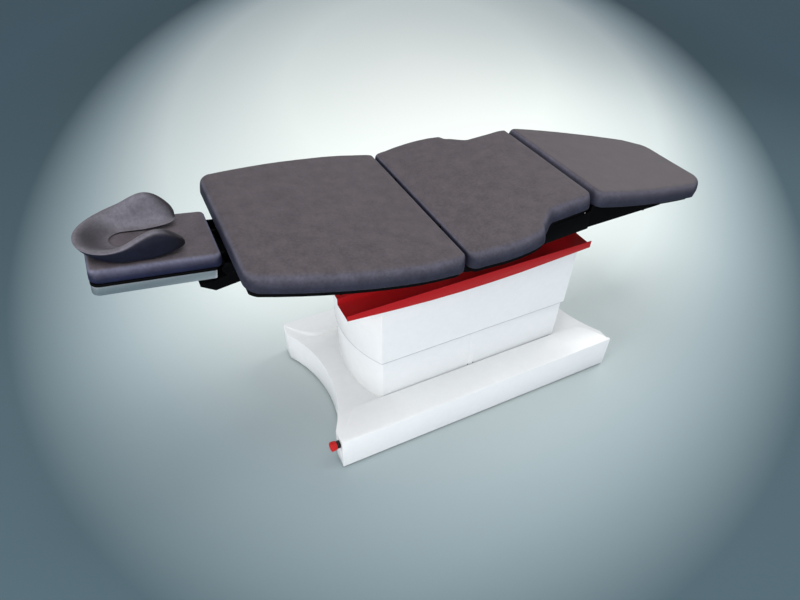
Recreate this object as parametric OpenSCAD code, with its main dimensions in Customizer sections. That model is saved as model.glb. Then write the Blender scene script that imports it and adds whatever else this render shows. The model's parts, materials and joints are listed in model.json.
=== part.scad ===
/* [Base] */
// Offset of the base's centre from the origin, towards the foot end
base_x = 87; // [60:1:130]
// Length of the base at its corners
base_l = 1284; // [1200:1:1400]
// Width of the base
base_w = 702; // [660:1:760]
// Height of the base's long side faces
side_h = 163; // [150:1:172]
// Height of the side ridges at their inner edge
ridge_h = 177; // [174:1:190]
// Height of the deck between the ridges
deck_h = 155; // [140:1:160]
// Half width of the deck between the ridges
deck_half_w = 225; // [224:1:260]
// Width of the hollow in each end face
hollow_w = 572; // [480:1:620]
// Depth of the hollow in each end face
hollow_d = 80; // [40:1:90]
// Wall of the base cover
base_wall = 4; // [2:0.5:6]
// Gap between the cover and the floor
floor_gap = 10; // [6:1:14]
// Levelling foot diameter
foot_d = 50; // [40:1:60]

/* [Columns and covers] */
// Half length of the column cover's flat side
cover_half_l = 424; // [400:1:440]
// Half width of the upper cover
upper_half_w = 230; // [226:1:236]
// Bulge of the cover's ends
cover_bulge = 68; // [50:1:75]
// Wall of the column covers
cover_wall = 3; // [2:0.5:4]
// Running gap between the two covers
cover_gap = 5; // [4:1:8]
// Height of the upper cover
upper_h = 295; // [285:1:310]
// Height of the lower cover above the deck
lower_h = 272; // [262:1:276]
// Height of the upper cover's lower edge at rest
lift_z = 370; // [345:1:380]
// Downward travel of the lift from rest
lift_down = 190; // [150:1:192]
// Distance from the couch's middle to each column
column_x = 250; // [220:1:270]
// Outside width of the fixed column tube
column_w = 120; // [110:1:130]
// Wall of the column tubes
column_wall = 5; // [4:0.5:6]
// Gap between fixed and moving column tube
column_gap = 6; // [5:0.5:8]

/* [Tray] */
// Length of the tray
tray_l = 1024; // [1000:1:1050]
// Distance from the couch's middle to the tray's head end
tray_head = 560; // [545:1:575]
// Width of the tray
tray_w = 500; // [480:1:520]
// Height of the side flange above the gutter
tray_lip = 17; // [10:1:22]
// Sheet thickness of the tray
tray_t = 3; // [2:0.5:4]
// Half width of the raised middle of the tray
platform_half_w = 163; // [150:1:170]
// Rise of the tray's middle above its gutters
platform_rise = 25; // [22:1:30]
// Depth of the side flange at its deepest
flange_depth = 51; // [40:1:60]
// Depth of the side flange at the head end
flange_head = 22; // [20:1:30]
// Depth of the side flange at the foot end
flange_foot = 30; // [22:1:38]

/* [Tilting top] */
// Angle of the seat at rest, foot end up
tilt_rest = 4; // [3:0.1:5]
// Highest angle of the seat
tilt_max = 12; // [10:0.5:13]
// Distance from the couch's middle to the tilt hinge
tilt_x = 520; // [500:1:530]
// Height of the tilt hinge above the tray's middle
tilt_h = 16; // [15:1:20]
// Diameter of the tilt pins
tilt_pin_d = 16; // [12:1:18]
// Distance along the top frame from the tilt hinge to the back joint
seat_x = 342; // [338:1:352]
// Height of the seat cushion's underside above the tilt hinge
seat_n = 111; // [110:1:124]
// Thickness of the boards
board_t = 18; // [12:1:18]
// Depth of the seat box below the seat cushion
box_depth = 92; // [88:1:96]
// Half width of the seat box
box_half_w = 288; // [280:1:292]
// Thickness of the box and leg side plates
plate_t = 5; // [3:0.5:6]

/* [Cushions] */
// Thickness of the three main cushions at their edge
cushion_t = 58; // [54:1:64]
// Rise of the cushions' crown
crown = 5; // [2:1:8]
// Gap between neighbouring cushions when they lie flat
cushion_gap = 9; // [8:0.5:12]
// Distance from the back joint to the middle of the seat's shoulder
shoulder_x = 328; // [310:1:345]
// Length of the seat section between its joints
seat_l = 565; // [556:1:580]
// Half width of the seat at the hips
seat_hip_w = 396; // [388:1:406]
// Half width of the seat at the leg joint
seat_foot_w = 297; // [294:1:302]
// Length of the back section
back_l = 688; // [670:1:700]
// Half width of the back at its widest
back_wide_w = 394; // [386:1:402]
// Half width of the back at the head end
back_head_w = 321; // [310:1:340]
// Length of the leg section
leg_l = 734; // [700:1:740]
// Half width of the leg section at its joint
leg_joint_w = 300; // [296:1:304]
// Half width of the leg section near the foot end
leg_foot_w = 236; // [215:1:250]

/* [Joints] */
// Angle of the back above the seat's plane at rest
back_rest = 12.2; // [9:0.1:13]
// Largest angle of the back above the seat's plane
back_max = 60; // [50:1:60]
// Height of the back hinge above the cushions' underside
back_hinge_n = 38; // [36:1:40]
// Angle of the leg section below the seat's plane at rest
leg_rest = 17.4; // [16:0.1:20]
// Largest angle of the leg section below the seat's plane
leg_max = 45; // [40:1:45]
// Diameter of the back and leg hinge pins
hinge_pin_d = 12; // [10:1:14]
// Angle of the headrest above the back's plane at rest
head_rest = -0.3; // [-2:0.1:4]

/* [Headrest] */
// Length of the headrest frame
head_l = 336; // [325:1:345]
// Half width of the headrest frame
head_half_w = 141; // [135:1:146]
// Height of the frame's bright band
band_h = 34; // [30:1:38]
// Thickness of the band
band_t = 4; // [3:0.5:5]
// Thickness of the headrest pad
pad_t = 42; // [36:1:48]
// Half width of the headrest pad
pad_half_w = 137; // [130:1:142]
// Length of the headrest pad
pad_l = 356; // [345:1:364]
// Half width of the head bracket
bracket_half_w = 130; // [120:1:136]
// Length of the face cradle
cradle_l = 304; // [290:1:330]
// Half width of the face cradle
cradle_half_w = 130; // [124:1:140]
// Height of the cradle's side lobes
lobe_h = 89; // [84:1:104]
// Height of the cradle at its closed end
bow_h = 23; // [20:1:50]

/* [Emergency stop] */
// Height of the stop button above the floor
stop_z = 124; // [112:1:130]
// Distance of the stop button from the base's side
stop_in = 28; // [26:1:34]
// Diameter of the mushroom knob
stop_knob_d = 38; // [34:1:40]
// Travel of the knob
stop_travel = 5; // [3:0.5:6]
// Length of the collar in front of the cover
stop_collar_l = 24; // [16:1:28]

/* [Mains inlet] */
// Width of the inlet's opening
inlet_w = 48; // [44:1:54]
// Height of the inlet's opening
inlet_h = 28; // [26:1:34]
// Height of the inlet above the floor
inlet_z = 95; // [80:1:110]

/* [Hidden] */
$fn = 64;

// Clearances and fits
run = 0.3;
eps = 0.01;
bore_play = 0.05;
hinge_gap = 0.5;

// Colours
white = "#eef0ee";
upholstery = "#5b5660";
black = "#15161a";
red = "#b01c20";
steel = "#a9adb3";
bright = "#c9ccd0";
plastic = "#2a2b30";
rubber = "#1b1b1d";

// Base
corner_x = base_l / 2;
corner_y = base_w / 2;
hollow_r = (pow(hollow_w / 2, 2) + pow(hollow_d, 2)) / (2 * hollow_d);
ridge_end_x = corner_x - 125;
rail_w = 60;
rail_h = 40;
rail_wall = 3;
rail_z = 22;
rail_y = 190;
rail_top = rail_z + rail_h;
foot_x = 520;
foot_pad_h = 12;
stud_d = 10;
plate_base_t = 8;
column_foot_w = column_w + 60;
column_z = rail_top + plate_base_t;

// Stop button
stop_neck_d = 22.4;
stop_stem_d = 12;

// Column covers
lower_half_w = upper_half_w - cover_wall - cover_gap;
lower_half_l = cover_half_l - cover_wall - cover_gap;
lower_bulge = cover_bulge - 2;
tray_z = upper_h;
platform_z = tray_z + platform_rise;
column_top = lift_z + tray_z - lift_down - 36;
column_floor = 6;
inner_w = column_w - 2 * column_wall - 2 * column_gap;
inner_bottom = column_z + column_floor + 6 + lift_down - lift_z;
glide_h = 40;
spindle_d = 36;
spindle_l = 300;
push_d = 28;
motor_d = 62;
motor_l = 92;
motor_gap = 4;
motor_foot_w = 44;
control_l = 180;
control_w = 104;
control_h = 52;

// Carriage
head_plate_w = 150;
head_plate_t = 8;
carriage_rail_y = 115;
carriage_rail_w = 40;
carriage_rail_z = tray_z - 25;
carriage_rail_l = 860;

// Tilting top
pivot_z = platform_z + tray_t + tilt_h;
arm_y = 135;
arm_t = 12;
arm_r = 13;
cheek_t = 8;
cheek_r = 20;
bush_d = tilt_pin_d + 4;
back_axis_n = seat_n + back_hinge_n;
leg_x = seat_x + seat_l;
leg_axis_n = seat_n - board_t / 2;
board_n = seat_n - board_t;
board_gap = 14;
board_inset = 14;
// The seat's board reaches out over its side sheets
seat_board_inset = 11;
box_n = seat_n - box_depth;
beam_h = 20;
beam_n = board_n - beam_h;
rail_depth = 40;
back_beam_x = seat_x + 66;
leg_beam_x = leg_x - 70;
leg_beam_w = 30;
side_gap = 1.5;

// Drive that tilts the top: a fixed upright body, its rod and a slotted lug on the top frame
tilt_rod_d = 24;
tilt_body_d = 60;
tilt_body_h = 190;
tilt_body_floor = 15;
tilt_rod_depth = 125;
tilt_lug_x = 640;
tilt_pin_n = 50;
tilt_lug_y = 26;
tilt_lug_t = 10;
cross_pin_d = 12;
tilt_play = 1.5;
tilt_rod_x = tilt_lug_x * cos(tilt_rest) - tilt_pin_n * sin(tilt_rest);
tilt_pin_z = pivot_z + tilt_lug_x * sin(tilt_rest) + tilt_pin_n * cos(tilt_rest);
function lug_at(angle) = (tilt_rod_x + tilt_pin_n * sin(angle)) / cos(angle);

// Drives of the back and the leg section: bodies in the seat box, rods and slotted cranks
drive_n = 46;
drive_l = 230;
drive_body_d = 52;
drive_rod_d = 20;
drive_y = 60;
drive_pin_l = 60;
hanger_w = 24;
hanger_at = [60, 130];
slot_play = 3;
crank_t = 8;
crank_y = 20;
crank_w = 17;
back_crank = back_axis_n - drive_n;
leg_crank = leg_axis_n - drive_n;
back_mid = back_max / 2;
leg_mid = leg_max / 2;
back_pin_x = seat_x + back_crank * tan(back_mid - back_rest);
leg_pin_x = leg_x + leg_crank * tan(leg_mid - leg_rest);
back_drive_x = seat_x + 110;
leg_drive_x = leg_x - 70;

// Frame of the leg section
leg_side_y = box_half_w - plate_t - side_gap;
leg_root_x = 16;
leg_rail_x = 60;
leg_rail_l = 540;
leg_rail_y = 120;
leg_rail_w = 30;
leg_rail_n = -34;
leg_cross_x = 270;
leg_cross_h = 9;
leg_wedge_l = 372;
leg_board_inset = 28;

// Hinges of the back and the leg section
ear_y = 170;
ear_t = 8;
ear_r = 13;
leg_ear_y = 240;
leg_ear_r = board_t / 2 - 0.4;
back_board_n = -back_hinge_n - board_t;
back_beam_h = 25;
back_rail_n = back_board_n - back_beam_h;
back_rail_w = 30;
pocket_gap = 2;
pocket_side = 4;
notch_l = 34;
notch_in = 14;
notch_out = 6;
knuckle_l = 72;

// Headrest
head_axis_x = back_l + 9;
head_axis_n = 76;
head_pin_d = 10;
lug_r = 12;
head_lug_y = 60;
head_bush_r = 11;
band_x = 26;
pad_x = 8;
pad_rise = 0.5;
rod_y = 90;
rod_d = 14;
rod_n = -2;
bracket_side_t = 5;
head_board_t = 11;
patch_t = 2;
patch_w = 22;
patch_l = 70;
patch_x = 205;
cradle_x = 82;
cradle_tube = 40;
cradle_toe_in = 12;
cradle_bank = 0.35;
tip_lift = 20;

// Half of a plan outline, closed by its mirror image over the middle line
function mirrored(half) = concat(half, [for (i = [len(half) - 1:-1:0]) [half[i].x, -half[i].y]]);
function arc(cx, cy, r, a0, a1, n) =
  [for (i = [0:n]) let (a = a0 + (a1 - a0) * i / n) [cx + r * cos(a), cy + r * sin(a)]];
function ease(t) = (1 - cos(180 * t)) / 2;

// Outline of the base, drawn in by an inset, with the hollow end faces as arcs
function base_end(inset) =
  let (r = hollow_r + inset, c = corner_x - hollow_d - inset + r,
       a = asin((hollow_w / 2) / r))
  concat([for (i = [0:12]) let (t = -a + 2 * a * i / 12) [c - r * cos(t), r * sin(t)]]);
function base_outline(inset) =
  concat(
    [[corner_x - inset, -corner_y + inset]],
    base_end(inset),
    [[corner_x - inset, corner_y - inset], [-corner_x + inset, corner_y - inset]],
    [for (p = base_end(inset)) [-p.x, -p.y]],
    [[-corner_x + inset, -corner_y + inset]]);

// Cross section of the base with its sloped ridges
function ridge_profile(inset, z0) = [
  [-corner_y + inset, z0], [corner_y - inset, z0], [corner_y - inset, side_h - inset],
  [deck_half_w, ridge_h - inset], [-deck_half_w, ridge_h - inset], [-corner_y + inset, side_h - inset]];

// Boundary of the deck, flaring to the corners at each end
function deck_outline() =
  let (x0 = ridge_end_x, y0 = deck_half_w, y1 = corner_y - 6)
  mirrored([
    [-corner_x - 10, y1], [-corner_x + 8, y1 - 8],
    for (i = [1:7]) let (t = i / 8) [-corner_x + (corner_x - x0) * t, y1 - (y1 - y0) * sin(90 * t)],
    [-x0, y0], [x0, y0],
    for (i = [7:-1:1]) let (t = i / 8) [corner_x - (corner_x - x0) * t, y1 - (y1 - y0) * sin(90 * t)],
    [corner_x - 8, y1 - 8], [corner_x + 10, y1]]);

// Outline of a column cover: straight sides and bowed ends
function cover_outline(half_l, half_w, bulge) =
  let (r = (pow(half_w, 2) + pow(bulge, 2)) / (2 * bulge), a = asin(half_w / r),
       c = half_l + bulge - r)
  concat([for (i = [0:16]) let (t = -a + 2 * a * i / 16) [c + r * cos(t), r * sin(t)]],
         [for (i = [0:16]) let (t = -a + 2 * a * i / 16) [-c - r * cos(t), -r * sin(t)]]);

// Frames of the carriers
module in_base() { translate([base_x, 0, 0]) children(); }
module in_lift() { in_base() translate([0, 0, lift_z]) children(); }
module in_top() { in_lift() translate([-tilt_x, 0, pivot_z]) rotate([0, -tilt_rest, 0]) children(); }
module in_back() { in_top() translate([seat_x, 0, back_axis_n]) rotate([0, back_rest, 0]) children(); }
module in_leg() { in_top() translate([leg_x, 0, leg_axis_n]) rotate([0, leg_rest, 0]) children(); }
module in_head() {
  in_back() translate([-head_axis_x, 0, -head_axis_n]) rotate([0, head_rest, 0]) children();
}
module sides() {
  children();
  mirror([0, 1, 0]) children();
}
module across(d, y0, y1) { translate([0, y0, 0]) rotate([-90, 0, 0]) cylinder(d = d, h = y1 - y0); }
module along(d, x0, x1) { translate([x0, 0, 0]) rotate([0, 90, 0]) cylinder(d = d, h = x1 - x0); }
module block(x0, x1, y0, y1, z0, z1) { translate([x0, y0, z0]) cube([x1 - x0, y1 - y0, z1 - z0]); }
module plate_xz(points, y0, y1) {
  translate([0, y1, 0]) rotate([90, 0, 0]) linear_extrude(y1 - y0) polygon(points);
}
module box_tube(x0, x1, y0, y1, z0, z1, wall) {
  difference() {
    block(x0, x1, y0, y1, z0, z1);
    block(x0 - 1, x1 + 1, y0 + wall, y1 - wall, z0 + wall, z1 - wall);
  }
}

// White cover of the base with its ridges and deck
module base_cover() {
  ridge_in = deck_half_w + base_wall;
  color(white) in_base() difference() {
    intersection() {
      translate([0, 0, floor_gap]) linear_extrude(ridge_h) polygon(base_outline(0));
      rotate([90, 0, 90]) translate([0, 0, -corner_x - 1]) linear_extrude(base_l + 2)
        polygon(ridge_profile(0, floor_gap));
    }
    translate([0, 0, deck_h]) linear_extrude(ridge_h) polygon(deck_outline());
    translate([0, 0, -1]) linear_extrude(deck_h - base_wall + 1) polygon(base_outline(base_wall));
    sides() rotate([90, 0, 90]) translate([0, 0, -ridge_end_x]) linear_extrude(2 * ridge_end_x)
      polygon([[ridge_in, deck_h - base_wall - 1], [corner_y - base_wall, deck_h - base_wall - 1],
               [corner_y - base_wall, side_h - base_wall], [ridge_in, ridge_h - base_wall]]);
    linear_extrude(deck_h + 1) polygon(cover_outline(lower_half_l - 14, lower_half_w - 14, lower_bulge));
    translate([0, -corner_y + stop_in, stop_z]) along(stop_neck_d, -corner_x - 15, -corner_x + 15);
    inlet_hole();
  }
}

// Cut-out for the appliance inlet in the middle of the foot end
module inlet_hole() {
  x = corner_x - hollow_d;
  block(x - 12, x + 12, -inlet_w / 2, inlet_w / 2, inlet_z - inlet_h / 2, inlet_z + inlet_h / 2);
}

// Welded frame with cross members under the columns
module base_frame() {
  color(steel) in_base() {
    sides() box_tube(-foot_x - rail_w / 2, foot_x + rail_w / 2, rail_y - rail_w / 2, rail_y + rail_w / 2,
                     rail_z, rail_top, rail_wall);
    for (x = [-foot_x, -column_x, column_x, foot_x])
      translate([x, 0, 0]) difference() {
        block(-rail_w / 2, rail_w / 2, -rail_y + rail_w / 2, rail_y - rail_w / 2, rail_z, rail_top);
        block(-rail_w / 2 + rail_wall, rail_w / 2 - rail_wall, -rail_y, rail_y,
              rail_z + rail_wall, rail_top - rail_wall);
      }
    for (x = [-column_x, column_x])
      translate([x, 0, 0]) block(-column_foot_w / 2, column_foot_w / 2, -column_foot_w / 2, column_foot_w / 2,
                                 rail_top, column_z);
    sides() for (x = [-foot_x, foot_x])
      block(x - 4, x + 4, rail_y + rail_w / 2, corner_y - base_wall, rail_z, rail_top);
  }
}

// Rubber feet
module levelling_feet() {
  color(rubber) in_base() sides() for (x = [-foot_x, foot_x])
    translate([x, rail_y, 0]) {
      cylinder(d = foot_d, h = 6);
      translate([0, 0, 6]) cylinder(d = foot_d - 12, h = foot_pad_h - 6);
    }
}

// Threaded studs between the feet and the frame
module foot_studs() {
  color(steel) in_base() sides() for (x = [-foot_x, foot_x])
    translate([x, rail_y, foot_pad_h]) {
      cylinder(d = stud_d, h = rail_z - foot_pad_h);
      cylinder(d = 17, h = 6, $fn = 6);
    }
}

// Lower stage of the column cover
module lower_cover() {
  color(white) in_base() translate([0, 0, deck_h]) difference() {
    linear_extrude(lower_h) polygon(cover_outline(lower_half_l, lower_half_w, lower_bulge));
    translate([0, 0, -1]) linear_extrude(lower_h + 2)
      polygon(cover_outline(lower_half_l - cover_wall, lower_half_w - cover_wall, lower_bulge));
  }
}

// Fixed tube of a lifting column
module column_outer(x) {
  color(bright) in_base() translate([x, 0, 0])
    difference() {
      block(-column_w / 2, column_w / 2, -column_w / 2, column_w / 2, column_z, column_top);
      block(-column_w / 2 + column_wall, column_w / 2 - column_wall, -column_w / 2 + column_wall,
            column_w / 2 - column_wall, column_z + column_floor, column_top + 1);
    }
}
module head_column_outer() { column_outer(-column_x); }
module foot_column_outer() { column_outer(column_x); }

// Glide strips between the tubes, at the mouth of each fixed tube
module column_glides() {
  w = inner_w / 2 + run;
  o = column_w / 2 - column_wall;
  color(white) in_base() for (x = [-column_x, column_x])
    translate([x, 0, column_top - glide_h]) difference() {
      block(-o, o, -o, o, 0, glide_h);
      block(-w, w, -w, w, -1, glide_h + 1);
    }
}

// Fixed guide tubes of the lifting drives
module spindle_tubes() {
  color(steel) in_base() for (x = [-column_x, column_x])
    translate([x, 0, column_z + column_floor]) difference() {
      cylinder(d = spindle_d, h = spindle_l);
      translate([0, 0, 20]) cylinder(d = push_d + 1, h = spindle_l);
    }
}

// Geared motors beside the column feet
module lift_motors() {
  reach = motor_d / 2 + motor_gap;
  color(plastic) in_base() for (s = [-1, 1])
    translate([s * (column_x - column_w / 2 - reach), 0, column_z + motor_d / 2]) {
      across(motor_d, -motor_l / 2, motor_l / 2);
      block(-motor_foot_w / 2, motor_foot_w / 2, -motor_l / 3, motor_l / 3, -motor_d / 2, 0);
      translate([s * reach / 2, 0, 0]) rotate([0, s * 90, 0]) cylinder(d = 30, h = reach / 2);
    }
}

// Electronics box on its bridge between the frame's long tubes
module control_box() {
  inner_y = rail_y - rail_w / 2;
  color(plastic) in_base() {
    block(-control_l / 2, control_l / 2, -control_w / 2, control_w / 2, rail_z, rail_z + control_h);
    block(-control_l / 2 + 20, control_l / 2 - 20, -inner_y, inner_y, rail_z, rail_z + plate_base_t);
  }
}

// Appliance inlet, set in from inside the foot end
module mains_inlet() {
  x = corner_x - hollow_d;
  w = inlet_w / 2 - run;
  h = inlet_h / 2 - run;
  back = x - base_wall - 2;
  color(plastic) in_base() translate([0, 0, inlet_z]) difference() {
    union() {
      block(x - 24, x, -w, w, -h, h);
      block(back - 6, back, -w - 8, w + 8, -h - 5, h + 5);
    }
    block(x - 18, x + 1, -13, 13, -8, 8);
  }
}

// Place and direction of the stop button on the head end face
module at_stop() {
  in_base() translate([-corner_x, -corner_y + stop_in, stop_z]) rotate([0, -90, 0]) children();
}

// Collar of the stop button, through the head end face
module e_stop_collar() {
  color(black) at_stop() difference() {
    union() {
      cylinder(d = 30, h = stop_collar_l);
      translate([0, 0, -22]) cylinder(d = stop_neck_d - 0.4, h = 22);
    }
    translate([0, 0, -16]) cylinder(d = stop_stem_d + 2 * run, h = stop_collar_l + 20);
  }
}

// Red mushroom knob
module e_stop_knob() {
  r = stop_knob_d / 2;
  color(red) at_stop() {
    translate([0, 0, -8]) cylinder(d = stop_stem_d, h = stop_collar_l + stop_travel + 10);
    translate([0, 0, stop_collar_l + stop_travel + 1]) rotate_extrude() polygon(concat(
      [[0, 0], [r - 7, 0]],
      arc(r - 5, 6, 5, -60, 80, 8),
      arc(0, 4 - r, 1.42 * r - 4, 66, 90, 5)));
  }
}

// Folded sheet tray with arched side flanges
module red_tray() {
  x0 = -tray_head;
  x1 = x0 + tray_l;
  y1 = tray_w / 2;
  top = tray_z + tray_t + tray_lip;
  function drop(t) = let (e = t < 0.5 ? flange_head : flange_foot) e + (flange_depth - e) * sin(180 * t);
  color(red) in_lift() difference() {
    union() {
      sides() {
        plate_xz(concat([[x0, top], [x1, top]],
                        [for (i = [16:-1:0]) [x0 + tray_l * i / 16, top - drop(i / 16)]]), y1 - tray_t, y1);
        block(x0, x1, platform_half_w - tray_t, y1 - tray_t, tray_z, tray_z + tray_t);
        block(x0, x1, platform_half_w - tray_t, platform_half_w, tray_z + tray_t, platform_z + tray_t);
      }
      block(x0, x1, -platform_half_w + tray_t, platform_half_w - tray_t, platform_z, platform_z + tray_t);
    }
    translate([tilt_rod_x - tilt_x, 0, 0]) cylinder(d = tilt_rod_d + 12, h = 2 * tray_z);
  }
}

// Rails and cross plates that carry the tray on the columns
module carriage_frame() {
  x0 = carriage_rail_l / 2;
  y0 = carriage_rail_y - carriage_rail_w / 2;
  y1 = carriage_rail_y + carriage_rail_w / 2;
  z0 = carriage_rail_z;
  color(black) in_lift() {
    sides() box_tube(-x0, x0, y0, y1, z0, platform_z, rail_wall);
    for (x = [-column_x, column_x])
      block(x - head_plate_w / 2, x + head_plate_w / 2, -y0, y0, z0, z0 + head_plate_t);
    translate([tilt_rod_x - tilt_x, 0, 0]) difference() {
      block(-45, 45, -y0, y0, z0, z0 + head_plate_t);
      cylinder(d = tilt_rod_d + 6, h = 2 * tray_z);
    }
    sides() for (x = [-300, 300])
      block(x - 20, x + 20, y1, upper_half_w - cover_wall, tray_z - 16, tray_z - 10);
  }
}

// Upper stage of the column cover
module upper_cover() {
  color(white) in_lift() difference() {
    linear_extrude(tray_z) polygon(cover_outline(cover_half_l, upper_half_w, cover_bulge));
    translate([0, 0, -1]) linear_extrude(tray_z + 2)
      polygon(cover_outline(cover_half_l - cover_wall, upper_half_w - cover_wall, cover_bulge));
  }
}

// Moving tube of a lifting column, closed at its top
module column_inner(x) {
  w = inner_w / 2;
  z1 = carriage_rail_z;
  color(bright) in_lift() translate([x, 0, 0]) difference() {
    block(-w, w, -w, w, inner_bottom, z1);
    block(-w + column_wall, w - column_wall, -w + column_wall, w - column_wall,
          inner_bottom - 1, z1 - column_floor);
  }
}
module head_column_inner() { column_inner(-column_x); }
module foot_column_inner() { column_inner(column_x); }

// Moving tubes of the lifting drives
module push_tubes() {
  z1 = carriage_rail_z - column_floor;
  color(steel) in_lift() for (x = [-column_x, column_x])
    translate([x, 0, 0]) difference() {
      translate([0, 0, inner_bottom + 36]) cylinder(d = push_d, h = z1 - inner_bottom - 36);
      translate([0, 0, inner_bottom]) cylinder(d = push_d - 8, h = z1 - inner_bottom - 10);
    }
}

// Bearing cheeks of the tilt hinge
module tilt_brackets() {
  z0 = platform_z + tray_t;
  color(black) in_lift() translate([-tilt_x, 0, 0]) sides()
    for (y = [arm_y - arm_t / 2 - hinge_gap - cheek_t, arm_y + arm_t / 2 + hinge_gap])
      difference() {
        union() {
          block(-cheek_r - 4, cheek_r + 4, y, y + cheek_t, z0, z0 + 5);
          plate_xz(concat([[-cheek_r, z0], [cheek_r, z0]], arc(0, pivot_z, cheek_r, 0, 180, 12)),
                   y, y + cheek_t);
        }
        translate([0, 0, pivot_z]) across(tilt_pin_d + 2 * bore_play, y - 1, y + cheek_t + 1);
      }
}

// Pins of the tilt hinge with their bright heads
module tilt_pins() {
  y_in = arm_y - arm_t / 2 - hinge_gap - cheek_t;
  y_out = arm_y + arm_t / 2 + hinge_gap + cheek_t;
  color(bright) in_lift() translate([-tilt_x, 0, pivot_z]) sides() {
    across(tilt_pin_d, y_in - 4, y_out);
    across(tilt_pin_d + 8, y_out, y_out + 6);
    across(tilt_pin_d + 6, y_in - 6, y_in - run);
  }
}

// Plain bushes pressed in the frame's arms
module tilt_bushes() {
  color("#8d7a3c") in_top() sides() difference() {
    across(bush_d, arm_y - arm_t / 2, arm_y + arm_t / 2);
    across(tilt_pin_d + 2 * bore_play, arm_y - arm_t, arm_y + arm_t);
  }
}

// Fixed body of the tilt drive, standing under the tray
module tilt_actuator_body() {
  z0 = carriage_rail_z - tilt_body_h;
  color(plastic) in_lift() translate([tilt_rod_x - tilt_x, 0, z0]) difference() {
    union() {
      cylinder(d = tilt_body_d, h = tilt_body_h);
      translate([-34, 0, 0]) cylinder(d = 50, h = 110);
    }
    translate([0, 0, tilt_body_floor]) cylinder(d = tilt_rod_d + 2 * run, h = tilt_body_h);
  }
}

// Rod of the tilt drive with its cross pin
module tilt_actuator_rod() {
  z0 = carriage_rail_z - tilt_rod_depth;
  color(steel) in_lift() translate([tilt_rod_x - tilt_x, 0, 0]) {
    translate([0, 0, z0]) cylinder(d = tilt_rod_d, h = tilt_pin_z - 10 - z0);
    translate([0, 0, tilt_pin_z]) {
      block(-10, 10, -11, 11, -12, 10);
      across(cross_pin_d, -tilt_lug_y - 6.5, tilt_lug_y + 6.5);
    }
  }
}

// Frame of the tilting top: arms from the tilt hinge, beams under the seat and the tilt drive's lugs
module top_frame() {
  x_end = leg_beam_x + leg_beam_w;
  under_back = back_axis_n + back_rail_n - 16;
  r = cross_pin_d / 2 + tilt_play;
  x_low = lug_at(0) - 2;
  x_high = lug_at(tilt_max) + 2;
  color(black) in_top() difference() {
    union() {
      sides() {
        plate_xz([[-5, -arm_r], [80, -arm_r], [seat_x + 20, box_n + 3], [seat_x + 100, board_n - rail_depth],
                  [x_end, board_n - rail_depth], [x_end, board_n], [seat_x + 86, board_n],
                  [seat_x + 40, under_back], [seat_x - 30, under_back], [80, arm_r], [-5, arm_r]],
                 arm_y - arm_t / 2, arm_y + arm_t / 2);
        across(2 * arm_r, arm_y - arm_t / 2, arm_y + arm_t / 2);
      }
      block(back_beam_x, back_beam_x + beam_h, -box_half_w + plate_t, box_half_w - plate_t, beam_n, board_n);
      block(leg_beam_x, x_end, -box_half_w + plate_t, box_half_w - plate_t, beam_n, board_n);
      for (y = [-tilt_lug_y, tilt_lug_y])
        block(x_low - 20, x_high + 20, y - tilt_lug_t / 2, y + tilt_lug_t / 2, tilt_pin_n - 16, board_n);
      block(x_low - 10, x_high + 10, -arm_y, arm_y, board_n - 12, board_n);
    }
    sides() across(bush_d, arm_y - arm_t, arm_y + arm_t);
    translate([0, 0, tilt_pin_n]) {
      block(x_low, x_high, -tilt_lug_y - 8, tilt_lug_y + 8, -r, r);
      for (x = [x_low, x_high]) translate([x, 0, 0]) across(2 * r, -tilt_lug_y - 8, tilt_lug_y + 8);
    }
  }
}

// Deep sides of the box under the seat
module seat_box() {
  color(black) in_top() sides() {
    plate_xz([[seat_x + 8, box_n + 22], [seat_x + 50, box_n], [leg_x - 3, box_n], [leg_x - 3, board_n],
              [seat_x + 8, board_n]], box_half_w - plate_t, box_half_w);
    block(seat_x + 60, leg_beam_x - 40, box_half_w - plate_t - 25, box_half_w - plate_t, box_n, box_n + 4);
  }
}

// Plywood board under the seat, notched for the hinge ears
module seat_board() {
  color(black) in_top() translate([seat_x, 0, board_n]) difference() {
    linear_extrude(board_t)
      polygon(mirrored(board_half(seat_half(), board_gap, seat_l - board_gap, seat_board_inset)));
    sides() block(0, notch_l, ear_y - notch_in, ear_y + ear_t + notch_out, -1, board_t + 1);
  }
}
function board_half(half, x0, x1, inset = board_inset) =
  [for (p = half) [max(x0, min(x1, p.x)), max(1, p.y - inset)]];

// Plan outlines of the cushions, half of each, from the back or leg joint outwards
function seat_half() =
  let (hip = seat_hip_w, waist = hip - 45)
  concat(
    arc(cushion_gap / 2 + 36, hip - 48, 36, 180, 100, 6),
    [for (i = [0:6]) let (t = i / 6) [60 + (shoulder_x - 140) * t, hip - 11 + 11 * sin(150 * t)]],
    arc(shoulder_x - 62, hip - 52, 40, 72, 10, 5),
    [for (i = [1:6]) let (t = i / 7)
      [shoulder_x - 22 + 84 * t, waist - (waist - seat_foot_w) * ease(0.12 + 0.88 * t)]],
    [[shoulder_x + 90, seat_foot_w], [(shoulder_x + seat_l) / 2 + 30, seat_foot_w - 1]],
    arc(seat_l - cushion_gap / 2 - 35, seat_foot_w - 36, 35, 90, 0, 6));
function back_half() = concat(
  arc(cushion_gap / 2 + 36, back_wide_w - 44, 36, 180, 96, 6),
  [for (i = [1:9]) let (t = i / 9) [40 + (back_l - 130) * t, back_wide_w - 8 + 8 * sin(90 * min(1, t * 4))
     - (back_wide_w - back_head_w - 14) * pow(max(0, t - 0.2) / 0.8, 1.9)]],
  arc(back_l - 68, back_head_w - 58, 66, 60, 0, 8));
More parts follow.
